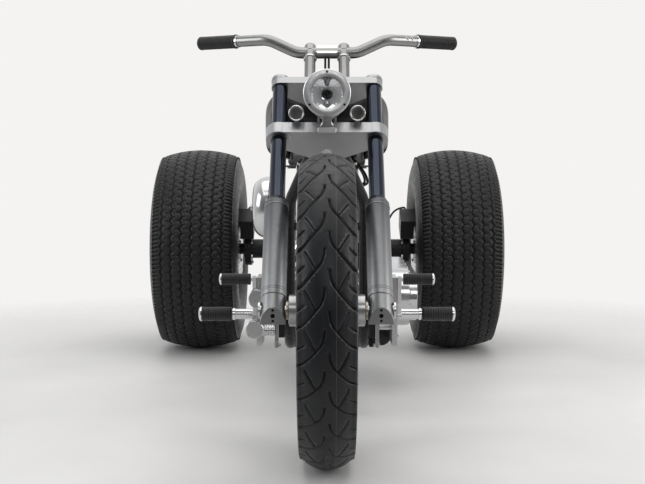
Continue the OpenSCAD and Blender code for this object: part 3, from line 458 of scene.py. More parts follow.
def metal(name, colour, dull, rough, grain=(1, 1, 1), scale=40, bump=0.05, depth=0.0004):
    """Bare metal: two tones in broad patches, a roughness that follows the tool's lines, and those lines as
    fine bump. grain stretches the lines: a small number runs them along that axis."""
    made, tree, shader, where = new_material(name)
    shader.inputs["Metallic"].default_value = 1.0
    link(tree, mottle(tree, where, 7, 4.0, 0.35, 0.7, colour, dull), shader.inputs["Base Color"])
    lines = add_noise(tree, where, scale, 4.0, grain)
    link(tree, add_range(tree, lines, 0.3, 0.7, *rough), shader.inputs["Roughness"])
    add_bump(tree, shader, lines, bump, depth)
    return made


def dress(material, *nodes):
    """Gives CAD nodes a material."""
    for node in nodes:
        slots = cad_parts[node].material_slots
        if not slots:
            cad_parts[node].data.materials.append(material)
        for slot in slots:
            slot.material = material


def basis(axis):
    """Two unit vectors square to an axis and to each other, and the axis itself."""
    w = np.asarray(axis, float) / np.linalg.norm(axis)
    u = np.cross((0, 0, 1) if abs(w[2]) < 0.9 else (0, 1, 0), w)
    u /= np.linalg.norm(u)
    return u, np.cross(w, u), w


def turned(profile, centre, axis, sides=32, hexagon=(), ring=False):
    """A profile of (radius, height) in millimetres turned about an axis: centre + height * axis + radius *
    (cos t * u + sin t * v). The rows in hexagon are six-sided; a ring's profile is a closed loop."""
    u, v, w = basis(axis)
    t = circle(sides)
    r, h = np.array(profile, float).T[..., None] * 0.001
    r = r * np.ones(sides)
    for row in hexagon:
        r[row] *= math.cos(math.pi / 6) / np.cos(t % (np.pi / 3) - np.pi / 6)
    round_way = np.cos(t)[:, None] * u + np.sin(t)[:, None] * v
    points = np.asarray(centre) + h[..., None] * w + r[..., None] * round_way
    return points.reshape(-1, 3), grid_faces(len(profile), sides, ring, True)


def smooth_path(points, count):
    """A Catmull-Rom curve through points: cubic, with the slope of the chord past each point."""
    p = np.asarray(points, float)
    p = np.concatenate([2 * p[:1] - p[1:2], p, 2 * p[-1:] - p[-2:-1]])
    t = np.linspace(0, len(p) - 3, count)
    i = np.minimum(t.astype(int), len(p) - 4)
    t = (t - i)[:, None]
    a, b, c, d = p[i], p[i + 1], p[i + 2], p[i + 3]
    return 0.5 * (2 * b + (c - a) * t + (2 * a - 5 * b + 4 * c - d) * t**2 + (3 * b - a - 3 * c + d) * t**3)


def swept(path, radius, sides=12, closed=False):
    """A round tube along a path. Each ring stands square to the path, and its first side follows the last
    ring's, so that the tube doesn't twist. An open tube is closed by a point at both ends."""
    path = np.asarray(path, float)
    radius = np.ones(len(path)) * radius
    along = np.roll(path, -1, 0) - np.roll(path, 1, 0) if closed else np.gradient(path, axis=0)
    along /= np.linalg.norm(along, axis=1)[:, None]
    side_way = basis(along[0])[0]
    frames = []
    for w in along:
        side_way = side_way - w * (side_way @ w)
        side_way /= np.linalg.norm(side_way)
        frames.append(side_way)
    u = np.array(frames)
    v = np.cross(along, u)
    if not closed:
        path, u, v = (np.concatenate([a[:1], a, a[-1:]]) for a in (path, u, v))
        radius = np.concatenate([[0], radius, [0]])
    t = circle(sides)
    ring = np.cos(t)[:, None] * u[:, None] + np.sin(t)[:, None] * v[:, None]
    points = path[:, None] + ring * radius[:, None, None]
    return points.reshape(-1, 3), grid_faces(len(path), sides, closed, True)


def slab(outline, layers, origin, u, v):
    """A plate: an outline in the plane of u and v, pushed along their cross product. Each layer is (height,
    inset), both in millimetres like the outline; an inset layer moves in along the outline's normals, and
    both ends close on the outline's middle."""
    line = np.asarray(outline, float) * 0.001
    along = np.roll(line, -1, 0) - np.roll(line, 1, 0)
    inward = np.stack([-along[:, 1], along[:, 0]], 1) / np.linalg.norm(along, axis=1)[:, None]
    cap = np.tile(line.mean(0), (len(line), 1))
    flat = np.stack([cap, *[line + inset * 0.001 * inward for _, inset in layers], cap])
    height = np.array([layers[0][0], *[h for h, _ in layers], layers[-1][0]])[:, None, None] * 0.001
    u, v = np.asarray(u, float), np.asarray(v, float)
    points = np.asarray(origin) + flat[..., :1] * u + flat[..., 1:] * v + height * np.cross(u, v)
    return points.reshape(-1, 3), grid_faces(len(layers) + 2, len(line), False, True)


def rounded_box(width, height, radius, steps=6):
    """The outline of a rectangle with rounded corners, anticlockwise."""
    w, h = width / 2 - radius, height / 2 - radius
    corners = ((w, -h, -90), (w, h, 0), (-w, h, 90), (-w, -h, 180))
    return np.concatenate([arc((x, y), radius, a, a + 90, steps) for x, y, a in corners])


def make_piece(name, shapes, material, body, sharp=35):
    """One piece of the object from closed shapes: doubles are merged, faces turned outwards, and edges
    sharper than the given angle stay crisp. It rides on a body and takes the given material."""
    starts = np.cumsum([0] + [len(points) for points, _ in shapes[:-1]])
    faces = np.concatenate([faces + start for (_, faces), start in zip(shapes, starts)])
    mesh = fill_mesh(name, np.concatenate([points for points, _ in shapes]), faces)
    work = bmesh.new()
    work.from_mesh(mesh)
    bmesh.ops.remove_doubles(work, verts=work.verts, dist=1e-6)
    bmesh.ops.dissolve_degenerate(work, edges=work.edges, dist=1e-7)
    bmesh.ops.recalc_face_normals(work, faces=work.faces)
    for edge in work.edges:
        edge.smooth = len(edge.link_faces) == 2 and edge.calc_face_angle(0) < math.radians(sharp)
    work.to_mesh(mesh)
    work.free()
    piece = add_object(name, mesh)
    piece.data.materials.append(material)
    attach(piece, body)
    return piece


polished = metal("polished_alloy", (0.68, 0.68, 0.69), (0.58, 0.58, 0.59), (0.14, 0.24), bump=0.006)
satin_rim = metal("satin_rim", (0.46, 0.46, 0.465), (0.38, 0.38, 0.385), (0.24, 0.34), scale=50, bump=0.01)
dress(satin_rim, "front_rim")
front_hub = np.array([0, *front_axle])
hub_end = np.array([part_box("front_rim")[1].x, 0, 0])
flange = [(15, -1), (15, 1.5), (30, 2), (36.2, 0.2), (37.5, -3), (37.5, -16), (38.3, -16.5), (38.3, -20),
          (15, -20)]
inner_ring = [(30.5, -24), (33, -24), (33, -31), (30.5, -31)]
flanges = [turned(rows, front_hub + side * hub_end, (side, 0, 0), 64, ring=True)
           for side in (-1, 1) for rows in (flange, inner_ring)]
make_piece("front_hub_rings", flanges, satin_rim, "front_wheel")
valve = [(0, -2), (5.2, -2), (4.8, 10), (3.6, 14), (3.6, 30), (4.1, 30), (4.1, 37), (3, 38), (0, 38)]
valve_rubber = rubber("valve_rubber", (0.015, 0.015, 0.016), (0.03, 0.03, 0.031))
valve_turn = math.radians(205)
valve_out = np.array([0, math.cos(valve_turn), math.sin(valve_turn)])
valve_place = front_hub + (0.02, 0, 0) + valve_out * 0.279
stem = turned(valve, valve_place, -valve_out, 16)
make_piece("front_valve", [stem], valve_rubber, "front_wheel")

# ---------------------------------------------------------------------------
# Rear wheels: polished alloy rims with five spokes. Each is held by five nuts round a
# turned hub cap, and carries its rubber valve between two spokes.


def bolt_circle(centre, axis, ring_radius, count, turn=0.0):
    """Places for bolts, evenly round a circle."""
    u, v, _ = basis(axis)
    t = np.radians(turn) + np.arange(count) * 2 * np.pi / count
    return np.asarray(centre) + ring_radius * (np.cos(t)[:, None] * u + np.sin(t)[:, None] * v)


steel = metal("bright_steel", (0.62, 0.62, 0.61), (0.5, 0.5, 0.5), (0.2, 0.36), scale=120, bump=0.04)
dress(polished, "rear_rim_left", "rear_rim_right")
dress(steel, "brake_disc_left", "brake_disc_right")
rear_hub = np.array([0, *rear_axle])
face_out = 0.074
nut = [(0, -2), (11.5, -2), (9.5, 4), (9.5, 16), (8, 19), (0, 19.5)]
hub_cap = [(0, 33), (12, 32.5), (24, 29.5), (31, 24), (33.5, 18), (35.2, 17.5), (35.2, 12), (33.8, 11.5),
           (33.8, 2), (37.5, 1.2), (37.5, -1), (0, -1)]
face_ring = [(70, -0.5), (70, 0.5), (71.5, 1.6), (73, 0.5), (73, -0.5)]
for side, name in wheel_sides:
    low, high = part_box("rear_tyre_" + name)
    centre = rear_hub + ((low.x + high.x) / 2 + side * face_out, 0, 0)
    nuts = [turned(nut, place, (side, 0, 0), 24, hexagon=(2, 3)) for place in
            bolt_circle(centre, (1, 0, 0), 0.054, 5, 36)]
    make_piece("wheel_nuts_" + name, nuts, steel, "rear_wheel_" + name)
    cap = [turned(hub_cap, centre, (side, 0, 0), 64), turned(face_ring, centre, (side, 0, 0), 96, ring=True)]
    make_piece("hub_cap_" + name, cap, polished, "rear_wheel_" + name)
    stem = turned(valve, centre + (-side * 0.036, 0, 0.176), (side * 0.75, 0, -0.66), 16)
    make_piece("rear_valve_" + name, [stem], valve_rubber, "rear_wheel_" + name)

# ---------------------------------------------------------------------------
# Brake discs: ground steel rings. Rows of small cooling holes run across each braking
# band, and five bolts hold the disc to the wheel's hub.


def cap_screw(centre, axis, radius, height):
    """A socket screw: a round head with a chamfer and a six-sided hole."""
    rows = [(0, -radius), (radius, -radius), (radius, height * 0.8), (radius * 0.86, height),
            (radius * 0.58, height), (radius * 0.56, height * 0.45), (0, height * 0.4)]
    return turned(rows, centre, axis, 12, hexagon=(4, 5))


def hex_bolt(centre, axis, radius, height):
    """A six-sided bolt head on its washer."""
    rows = [(0, -radius * 0.5), (radius * 1.25, -radius * 0.5), (radius * 1.25, height * 0.22),
            (radius * 1.05, height * 0.24), (radius * 1.05, height * 0.85), (radius * 0.9, height),
            (0, height)]
    return turned(rows, centre, axis, 12, hexagon=(3, 4, 5))


# The cooling holes aren't cut: each is a thin dark disc on the braking band, painted shade for the hole. The
# same dark material draws the clamp's lock hole.
painted_hole_shade = metal("painted_hole_shade", (0.1, 0.1, 0.1), (0.05, 0.05, 0.05), (0.5, 0.7))
hole = [(0, 0.5), (3.2, 0.5), (4, 0.2), (4, -0.2), (0, -0.2)]
for side, name in wheel_sides:
    low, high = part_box("brake_disc_" + name)
    centre = rear_hub + (low.x if side > 0 else high.x, 0, 0)
    holes = [turned(hole, place, (side, 0, 0), 8) for row in range(4) for place in
             bolt_circle(centre, (1, 0, 0), 0.084 + 0.0135 * row, 20, 4.5 * row)]
    make_piece("disc_holes_" + name, holes, painted_hole_shade, "rear_wheel_" + name)
    bolts = [hex_bolt(place, (-side, 0, 0), 6.2, 5) for place in bolt_circle(centre, (1, 0, 0), 0.05, 5)]
    make_piece("disc_bolts_" + name, bolts, steel, "rear_wheel_" + name)

# ---------------------------------------------------------------------------
# Fork: two chromed tubes slide in lower legs of machined alloy, whose blocks hold the
# axle. Two wide clamps of billet alloy join them to the steering stem.

rake = math.radians(39.0)
leg_half = 0.127
clamp_low, clamp_high = 0.545, 0.723
clamp_top = clamp_high + 0.011
up = np.array([0, math.sin(rake), math.cos(rake)])
back = np.array([0, math.cos(rake), -math.sin(rake)])
across = np.array([1.0, 0, 0])


def fork_point(x, behind, along):
    """A point in the fork's own frame: across, behind the legs and up along them from the front axle."""
    return front_hub + across * x + back * behind + up * along


def band(profile, inner):
    """A ring's closed profile: its outside, and straight sides down to an inner radius."""
    return [(inner, profile[0][1]), *profile, (inner, profile[-1][1])]


def collar(half, radius, drop, bevel, inner, at=0):
    """The profile of a collar about the height at: its edges are bevelled and drop by so much in radius."""
    return band([(radius - drop, at - half), (radius, at - half + bevel), (radius, at + half - bevel),
                 (radius - drop, at + half)], inner)


billet = metal(
    "brushed_billet", (0.27, 0.275, 0.285), (0.22, 0.225, 0.235), (0.36, 0.46), scale=46, bump=0.02)
machined = metal(
    "machined_billet", (0.4, 0.403, 0.41), (0.34, 0.343, 0.35), (0.3, 0.42), (9, 1, 1), 60, 0.03)
# The fork tubes' chrome takes a dark blue-grey colour: painted reflection of the dim side behind the camera,
# which the tubes mirror.
dark_reflection_chrome = metal(
    "fork_chrome_painted_reflection", (0.048, 0.055, 0.072), (0.037, 0.043, 0.057), (0.05, 0.1), scale=90, bump=0.01)
slider_satin, tree, shader, where = new_material("slider_satin")
shader.inputs["Metallic"].default_value = 1.0
# Painted shade: the lower legs' colour darkens towards the top, for the dark reflection on their upper part.
painted_shade_fall = add_range(tree, coordinate(tree, where, "Z"), 0.36, 0.62, 0, 1)
shade = add_mix(tree, painted_shade_fall, (0.32, 0.325, 0.33), (0.11, 0.115, 0.122))
patches = add_range(tree, add_noise(tree, where, 9, 3.0), 0.35, 0.7, 0, 0.25)
link(tree, add_mix(tree, patches, shade, (0.2, 0.205, 0.21)), shader.inputs["Base Color"])
vary_roughness(tree, shader, where, 90, 3.0, 0.38, 0.46)
add_bump(tree, shader, add_noise(tree, where, 300, 2.0), 0.03, 0.0003)
dress(slider_satin, "fork_slider_left", "fork_slider_right")
dress(machined, "upper_clamp", "lower_clamp")
dress(dark_reflection_chrome, "fork_tubes")
dress(steel, "front_axle", "steering_stem")
cap_rows = [(0, 13.5), (10, 13.5), (10.5, 12.5), (20.5, 12.2), (24.5, 10.5), (25.2, 7.8), (25.2, 0.2),
            (0, 0.2)]
seal = band([(23.2, 321.8), (25, 323.2), (23.6, 326.2), (21.4, 329)], 20.6)
spacer = [(21.6, 0.4), (22.2, 1), (22.2, 5.2), (20.6, 5.6), (20.6, 0.4)]
rings, lines, caps, seals, spacers, well_shade_screws = [], [], [], [], [], []
for side in (-1, 1):
    foot = fork_point(side * leg_half, 0, 0)
    rings.append(turned(collar(18, 34.5, 1.5, 1.5, 21.5), foot + up * clamp_low, up, 64, ring=True))
    caps.append(turned(cap_rows, foot + up * clamp_top, up, 48))
    for r, at in ((31.8, 300), (31.1, 46), (31.1, 52)):
        lines.append(turned(collar(1.6, r, r - 30.3, 0.8, 29, at), foot, up, 64, ring=True))
    seals.append(turned(seal, foot, up, 48, ring=True))
    place = front_hub + side * (hub_end + (0.001, 0, 0))
    spacers.append(turned(spacer, place, (side, 0, 0), 48, ring=True))
    for rise, r in ((-0.022, 3), (-0.01, 5), (0.003, 3)):
        well_shade_screws.append(cap_screw(foot + (0, -0.025, rise), (0, -1, 0), r, 2))
make_piece("clamp_collars", rings, machined, "fork")
make_piece("fork_caps", caps, machined, "fork")
make_piece("slider_rings", lines, billet, "fork")
seal_rubber = rubber("seal_rubber", (0.012, 0.012, 0.013), (0.024, 0.024, 0.025))
make_piece("fork_seals", seals, seal_rubber, "fork")
# The middle of the lower clamp has a small lock hole in front, and the stem's nut stands on the upper one
# The lock hole is a small dark plug: painted shade for the hole.
lock = [(0, 0.1), (2.6, 0.1), (3.4, 0.8), (4, 0.8), (4, -1), (0, -1)]
lock = turned(lock, fork_point(0, -0.0325, clamp_low), -back, 24)
make_piece("lock_hole", [lock], painted_hole_shade, "fork")
stem_nut = [(0, 15), (9, 15), (9.5, 13.5), (19, 13), (20.5, 11), (20.5, 1), (24, 0.5), (24, -0.5), (0, -0.5)]
stem_nut = turned(stem_nut, fork_point(0, 0.05, clamp_top), up, 24, hexagon=(3, 4, 5))
make_piece("stem_nut", [stem_nut], steel, "fork")
# Brass-coloured spacers stand between the wheel's hub and the lower legs, and the axle's pinch screws are
# in the flat front faces of the blocks; their near black is painted shade in the wells they sit in
brass = metal("spacer_bronze", (0.4, 0.34, 0.26), (0.3, 0.26, 0.2), (0.28, 0.42), (9, 1, 1), 80)
make_piece("axle_spacers", spacers, brass, "fork")
# Near black: the real colour of the lamp's bulb cap and bezel screws, and painted shade on the pinch screws
# in the fork blocks' wells.
black_and_well_shade = metal("bolt_well", (0.012, 0.012, 0.012), (0.02, 0.02, 0.02), (0.4, 0.6))
make_piece("bolt_wells", well_shade_screws, black_and_well_shade, "fork")

# ---------------------------------------------------------------------------
# Handlebar: a bent tube of brushed alloy held by two round risers on the upper clamp. A
# polished plate covers its middle, and two small buttons sit by the left grip.


def bent_path(corners, radius, steps=9):
    """A path through corners, each rounded by a parabola that leaves both runs radius * tan(half the turn)
    from the corner."""
    corners = np.asarray(corners, float)
    path = [corners[:1]]
    for before, corner, after in zip(corners, corners[1:], corners[2:]):
        one = (before - corner) / np.linalg.norm(before - corner)
        two = (after - corner) / np.linalg.norm(after - corner)
        reach = radius * math.tan((math.pi - math.acos(np.clip(one @ two, -1, 1))) / 2)
        t = np.linspace(0, 1, steps)[:, None]
        path.append(corner + one * reach * (1 - t) ** 2 + two * reach * t**2)
    return np.concatenate([*path, corners[-1:]])


def repeated(rows, count, out, rise):
    """Rows of a profile, count times over, each time further out and higher."""
    return [(r + i * out, h + i * rise) for i in range(count) for r, h in rows]


bar_metal = metal("bar_alloy", (0.3, 0.3, 0.296), (0.26, 0.26, 0.256), (0.27, 0.35), scale=30, bump=0.005)
dress(bar_metal, "handlebar")
bar_r, riser_x, riser_back = 0.016, 0.048, 0.04
bar_centre = fork_point(0, riser_back, 0.889)
bar_bend, bar_end = bar_centre + (0.168, 0.015, 0.039), bar_centre + (0.37, 0.14, 0.043)
grip_way = (bar_end - bar_bend) / np.linalg.norm(bar_end - bar_bend)
half_line = [bar_centre + (0.085, 0, 0), bar_bend, bar_end]
bar_line = bent_path([*[p * (-1, 1, 1) for p in half_line[::-1]], *half_line], 0.075)
riser = [(0, 734), (15.5, 734), (15.5, 862), (17.5, 869), (17.5, 887.5), (16.6, 888.5), (16.6, 889.5),
         (17.5, 890.5), (17.5, 908), (16, 913.5), (12, 916.5), (0, 917.5)]
risers, collars = [], []
for side in (-1, 1):
    foot = fork_point(side * riser_x, riser_back, 0)
    risers.append(turned(riser, foot, up, 56))
    for h, r in ((736, 18.5), (866, 18.8)):
        collars.append(turned(collar(3, r, 1.5, 1, 14, h), foot, up, 56, ring=True))
bar = make_piece("bar_and_risers", [swept(bar_line, bar_r, 40), *risers], bar_metal, "fork", 40)
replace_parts(bar, "handlebar")
make_piece("riser_collars", collars, polished, "fork")
cover = slab(rounded_box(60, 30, 6), [(0, 0), (2, 0), (3.2, 1.2)], bar_centre - back * 0.015, -across, up)
make_piece("bar_cover", [cover], polished, "fork")
grip_rubber = rubber("grip_rubber", (0.014, 0.014, 0.015), (0.028, 0.028, 0.029))
grip_rows = [(0, -126.5), (16.3, -127), (19.8, -127), (20.5, -125), (20.5, -121), (19, -119),
             *repeated([(18.4, -117), (19.4, -116.1), (19.4, -114), (18.4, -113)], 26, 0, 4.3),
             (19.6, -2), (20, 1), (19.6, 5), (17.6, 7.2), (0, 7.8)]
ring_rows = band([(16.3, -134.5), (18, -134.2), (18, -128.2), (16.3, -127.9)], 15)
for side, name in wheel_sides:
    end, way = bar_end * (side, 1, 1), grip_way * (side, 1, 1)
    cover = turned(grip_rows, end, way, 36)
    grip = make_piece("grip_" + name, [cover], grip_rubber, "fork", 50)
    if side > 0:
        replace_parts(grip, "grips")
    ring = turned(ring_rows, end, way, 40, ring=True)
    make_piece("grip_ring_" + name, [ring], polished, "fork")
button = [(0, 1), (3.2, 1.2), (3.4, 0.2), (4.6, 0.2), (5, 2.6), (6.2, 2.6), (6.6, 1.2), (6.6, -3), (0, -3)]
buttons = [turned(button, bar_end + grip_way * at + (0, -0.0155, 0.003), (0, -1, 0.15), 24)
           for at in (-0.15, -0.166)]
make_piece("bar_buttons", buttons, steel, "fork")
dress(rubber("wire_sheath", (0.01, 0.01, 0.01), (0.022, 0.022, 0.022)), "bar_wires")

# ---------------------------------------------------------------------------
# Headlight: a spun alloy shell with a turned bezel and three small screws. Behind its
# clear domed glass lie a bright reflector, a bulb under its black cap and pressed flutes.

low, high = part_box("headlight")
lamp = np.array([0, low.y, (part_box("headlight_lens")[0].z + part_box("headlight_lens")[1].z) / 2])
ahead = (0, -1, 0)
# Lines of turning run round the lamp, and painted highlights lie on them in four wedges, lighter and darker
# in turn, put into the colour
bezel, tree, shader, where = new_material("turned_bezel")
shader.inputs["Metallic"].default_value = 1.0
aside = coordinate(tree, where, "X")
rise = add_math(tree, "SUBTRACT", coordinate(tree, where, "Z"), float(lamp[2]))
twice = add_math(tree, "MULTIPLY", add_math(tree, "ARCTAN2", rise, aside), 2.0)
squares = add_math(tree, "ADD", add_math(tree, "POWER", rise, 2.0), add_math(tree, "POWER", aside, 2.0))
turning = add_math(tree, "SINE", add_math(tree, "MULTIPLY", add_math(tree, "SQRT", squares), 5200.0))
painted_highlight_sector = add_range(tree, add_math(tree, "SINE", twice), -1, 1, 0, 1)
shade = add_mix(tree, painted_highlight_sector, (0.82, 0.82, 0.83), (0.56, 0.56, 0.57))
lines = add_range(tree, turning, -1, 1, 0, 0.25)
link(tree, add_mix(tree, lines, shade, (0.45, 0.45, 0.46)), shader.inputs["Base Color"])
vary_roughness(tree, shader, where, 120, 3.0, 0.3, 0.42)
add_bump(tree, shader, turning, 0.05, 0.0002)
dress(bezel, "headlight")
rim = [(40.8, 0.2), (41.4, 3.4), (45, 4.2), (59, 4.6), (61.2, 3), (61.8, 0), (61.8, -13), (44.5, -13),
       (44.5, 0)]
make_piece("headlight_bezel", [turned(rim, lamp, ahead, 96, ring=True)], bezel, "fork", 50)
screws = [cap_screw(lamp + (math.cos(t) * 0.054, -0.0044, math.sin(t) * 0.054), ahead, 3, 1.6)
          for t in np.radians((90, 214, 326))]
make_piece("bezel_screws", screws, black_and_well_shade, "fork")
# The bezel runs down into a flat neck that stands on a small block on the lower clamp
half = [(34, 0), (30, -6), (18, -12.5), (12, -19), (12, -27), (15, -33), (18, -34.5), (18, -42)]
neck = [*[(-x, y) for x, y in half], *half[::-1]]
lean = np.array([0, -0.42, 1.0]) / math.hypot(0.42, 1.0)
down = lamp + (0, 0.0035, -0.05)
make_piece("headlight_neck", [
    slab(neck, [(-6, 0), (1, 0), (2.2, 1.2)], down, across, lean),
    slab(rounded_box(48, 14, 3), [(-14, 0), (6, 0), (7, 1)], down + (0, 0.019, -0.045), across, (0, 0, 1)),
], bezel, "fork")
mirror = metal("reflector", (0.9, 0.9, 0.9), (0.8, 0.8, 0.8), (0.03, 0.08), scale=30, bump=0.02)
bowl = [(r, -8.5 - 14 * (1 - (r / 42) ** 2)) for r in np.linspace(43.6, 0, 12)]
bowl += [(r, h - 0.6) for r, h in bowl[::-1]] + bowl[:1]
make_piece("headlight_reflector", [turned(bowl, lamp, ahead, 72)], mirror, "fork", 60)
bulb = [(0, 0), (5, -0.6), (8.2, -2.6), (9.2, -6), (9.2, -15), (7.5, -19.5), (0, -20)]
bulb = turned(bulb, lamp + (0, 0.005, 0), ahead, 32)
make_piece("headlight_bulb_cap", [bulb], black_and_well_shade, "fork")
small = [(0, 4), (5, 3.6), (7, 2), (7.4, 0.4), (8.6, 0.4), (8.6, -8), (0, -8)]
make_piece("parking_bulb", [turned(small, lamp + (0, 0.0125, -0.028), ahead, 28)], steel, "fork")
clear_glass, tree, shader, where = new_material("clear_glass")
shader.inputs["Transmission Weight"].default_value = 1.0
shader.inputs["IOR"].default_value = 1.35
tint = (0.96, 0.97, 0.98)
tints = add_mix(tree, add_noise(tree, where, 30, 2.0), tint, tuple(0.92 * c for c in tint))
link(tree, tints, shader.inputs["Base Color"])
vary_roughness(tree, shader, where, 140, 2.0, 0.0, 0.05)
add_bump(tree, shader, add_noise(tree, where, 60, 1.0), 0.08, 0.0006)
# The glass is a shallow dome whose inside follows it; 24 flutes fade out towards its middle and its edge
glass_r, sides, rows = 0.0438, 96, 14
turn = circle(sides)
radius = np.linspace(0, glass_r, rows)[:, None]
dome = 0.0065 * (1 - (radius / glass_r) ** 2) + 0 * turn
fluted = np.clip((radius - 0.014) / 0.01, 0, 1) * np.clip((0.043 - radius) / 0.004, 0, 1)
depths = np.concatenate([dome + 0.0009 * np.cos(turn * 24) * fluted, (dome - 0.0028)[::-1]])
radii = np.concatenate([radius, radius[::-1]])
points = np.stack([radii * np.cos(turn), 0.003 - depths, radii * np.sin(turn)], 2) + lamp
lens = make_piece("headlight_glass", [(points.reshape(-1, 3), grid_faces(2 * rows, sides, False, True))],
                  clear_glass, "fork", 80)
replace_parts(lens, "headlight_lens")

# ---------------------------------------------------------------------------
# Turn signals: small chromed cups on short posts, each with a grey lens of pressed
# prisms in rings, held by a rolled chrome rim.

chrome = metal("chrome", (0.76, 0.765, 0.77), (0.7, 0.705, 0.71), (0.05, 0.1), bump=0.004)
dress(chrome, "turn_signals")
grey_lens = metal(
    "prism_lens", (0.34, 0.33, 0.32), (0.16, 0.155, 0.15), (0.26, 0.5), scale=420, bump=0.8, depth=0.002)
low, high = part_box("turn_signals")
signal_r = 0.0205
rim = band([(16.6, 0.4), (17.2, 2.2), (19.2, 2.8), (20.5, 1.8), (20.8, -2)], 16)
prisms = [(0, 0.8), *repeated([(1.4, 1.8), (2.7, 0.4)], 6, 2.6, 0), (16.8, 0.2), (16.8, -1.6), (0, -1.6)]
for side, name in wheel_sides:
    centre = np.array([side * (high.x - signal_r), low.y, high.z - signal_r])
    ring = turned(rim, centre, ahead, 56, ring=True)
    make_piece("signal_rim_" + name, [ring], chrome, "fork", 60)
    points, faces = turned(prisms, centre, ahead, 72)
    spread = points - centre
    around = np.arctan2(spread[:, 2], spread[:, 0])
    outward = np.hypot(spread[:, 0], spread[:, 2])
    points[:, 1] -= 0.0005 * np.cos(around * 18) * (outward > 0.003) * (outward < 0.016)
    make_piece("signal_lens_" + name, [(points, faces)], grey_lens, "fork", 20)

# ---------------------------------------------------------------------------
# Fuel tank: pressed steel in deep black paint, with rounded shoulders that taper to the
# seat. A low chromed cap with fluted edge closes it in front.


def paint(name, colour, deep, rough, coat=1.0, specular=0.5):
    """Paint: two close tones, an even gloss under a clear coat and a trace of orange peel."""
    made, tree, shader, where = new_material(name)
    shader.inputs["Specular IOR Level"].default_value = specular
    shader.inputs["Coat Weight"].default_value = coat
    shader.inputs["Coat Roughness"].default_value = 0.04
    link(tree, mottle(tree, where, 14, 4.0, 0.3, 0.7, colour, deep), shader.inputs["Base Color"])
    vary_roughness(tree, shader, where, 50, 2.0, *rough)
    add_bump(tree, shader, add_noise(tree, where, 260, 2.0), 0.02, 0.0004)
    return made


tank_paint = paint("tank_paint", (0.006, 0.006, 0.0065), (0.01, 0.01, 0.0105), (0.16, 0.22), 0.0, 0.16)
low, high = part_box("fuel_tank")
tank_rows, tank_sides = 80, 160
share = (1 - np.cos(np.linspace(0, 1, tank_rows) * np.pi)) / 2
tank_y = low.y + (high.y - low.y) * share
# Half width, top and bottom of each cross section, at shares of the way from the nose to the seat
half_wide = np.interp(share, [0, 0.02, 0.08, 0.2, 0.45, 0.75, 0.93, 1],
                      [0.095, 0.128, 0.162, 0.182, 0.186, 0.16, 0.132, 0.1])[:, None]
top = np.interp(share, [0, 0.02, 0.09, 0.2, 0.35, 0.7, 0.92, 1],
                [0.858, 0.893, 0.932, 0.955, 0.958, 0.936, 0.868, 0.826])[:, None]
bottom = np.interp(share, [0, 0.03, 0.1, 0.9, 1], [0.812, 0.762, 0.735, 0.735, 0.776])[:, None]
turn = circle(tank_sides)[None, :]
rise, aside = np.sin(turn), np.cos(turn)
# A superellipse: square below, softer above
x = half_wide * np.sign(aside) * abs(aside) ** np.where(rise > 0, 0.72, 0.34)
z = (top + bottom) / 2 + (top - bottom) / 2 * np.sign(rise) * abs(rise) ** np.where(rise > 0, 0.62, 0.34)
# A tunnel under the tank clears the backbone and the rocker boxes
tunnel = 0.8 - 0.01 * np.clip((abs(x) - 0.02) / 0.1, 0, 1)
z = np.where((abs(x) < 0.112) & (rise < 0), np.maximum(z, np.minimum(tunnel, top - 0.02)), z)
ends = np.stack([[0, 0], tank_y[[0, -1]], [0.83, 0.8]], 1)[:, None].repeat(tank_sides, 1)
shell = np.stack([x, tank_y[:, None] + 0 * x, z], 2)
points = np.concatenate([ends[:1], shell, ends[1:]]).reshape(-1, 3)
tank = make_piece("tank_shell", [(points, grid_faces(tank_rows + 2, tank_sides, False, True))], tank_paint,
                  "chassis", 180)
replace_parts(tank, "fuel_tank")
low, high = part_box("fuel_cap")
rows = [(0, 15.5), (16, 15), (21.5, 12.8), (25, 15), (28.5, 13.5), (30, 11), (30, 4), (32.5, 3), (33, 0),
        (0, 0)]
cap = turned(rows, (0, (low.y + high.y) / 2, low.z), (0, 0, 1), 60)
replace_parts(make_piece("tank_cap", [cap], chrome, "chassis"), "fuel_cap")

# ---------------------------------------------------------------------------
# Engine: two finned cylinders stand in a V on a cast crankcase. Chromed rocker covers
# with rounded edges close the heads, four screws hold each one, and plug leads run to them.

cast = metal(
    "cast_alloy", (0.5, 0.5, 0.5), (0.36, 0.36, 0.36), (0.42, 0.6), scale=160, bump=0.25, depth=0.0008)
finned = metal("finned_alloy", (0.62, 0.62, 0.62), (0.46, 0.46, 0.46), (0.26, 0.42), scale=90, bump=0.08)
dress(cast, "crankcase", "gearbox")
dress(finned, "cylinder_front", "cylinder_rear")
dress(chrome, "pushrod_tubes")
crank = np.array([0, 0.01975, 0.35])
bank = math.radians(22.5)
lower_cover = rounded_box(196, 150, 22), [(0, 0), (12, 0), (13.5, 1.5), (30, 1.5), (37.4, 8)]
upper_cover = rounded_box(172, 126, 24), [(30, 0), (50, 0), (60, 4), (66.5, 13), (68, 26)]
plug = [(0, 0), (7.5, 0), (7.5, 14), (10.5, 14.5), (10.5, 24), (6.5, 25), (6, 44), (0, 44.5)]
lead_r = np.where(np.arange(30) < 6, 0.0085, 0.004)
rockers, screws, plugs, leads, collars, studs = [], [], [], [], [], []
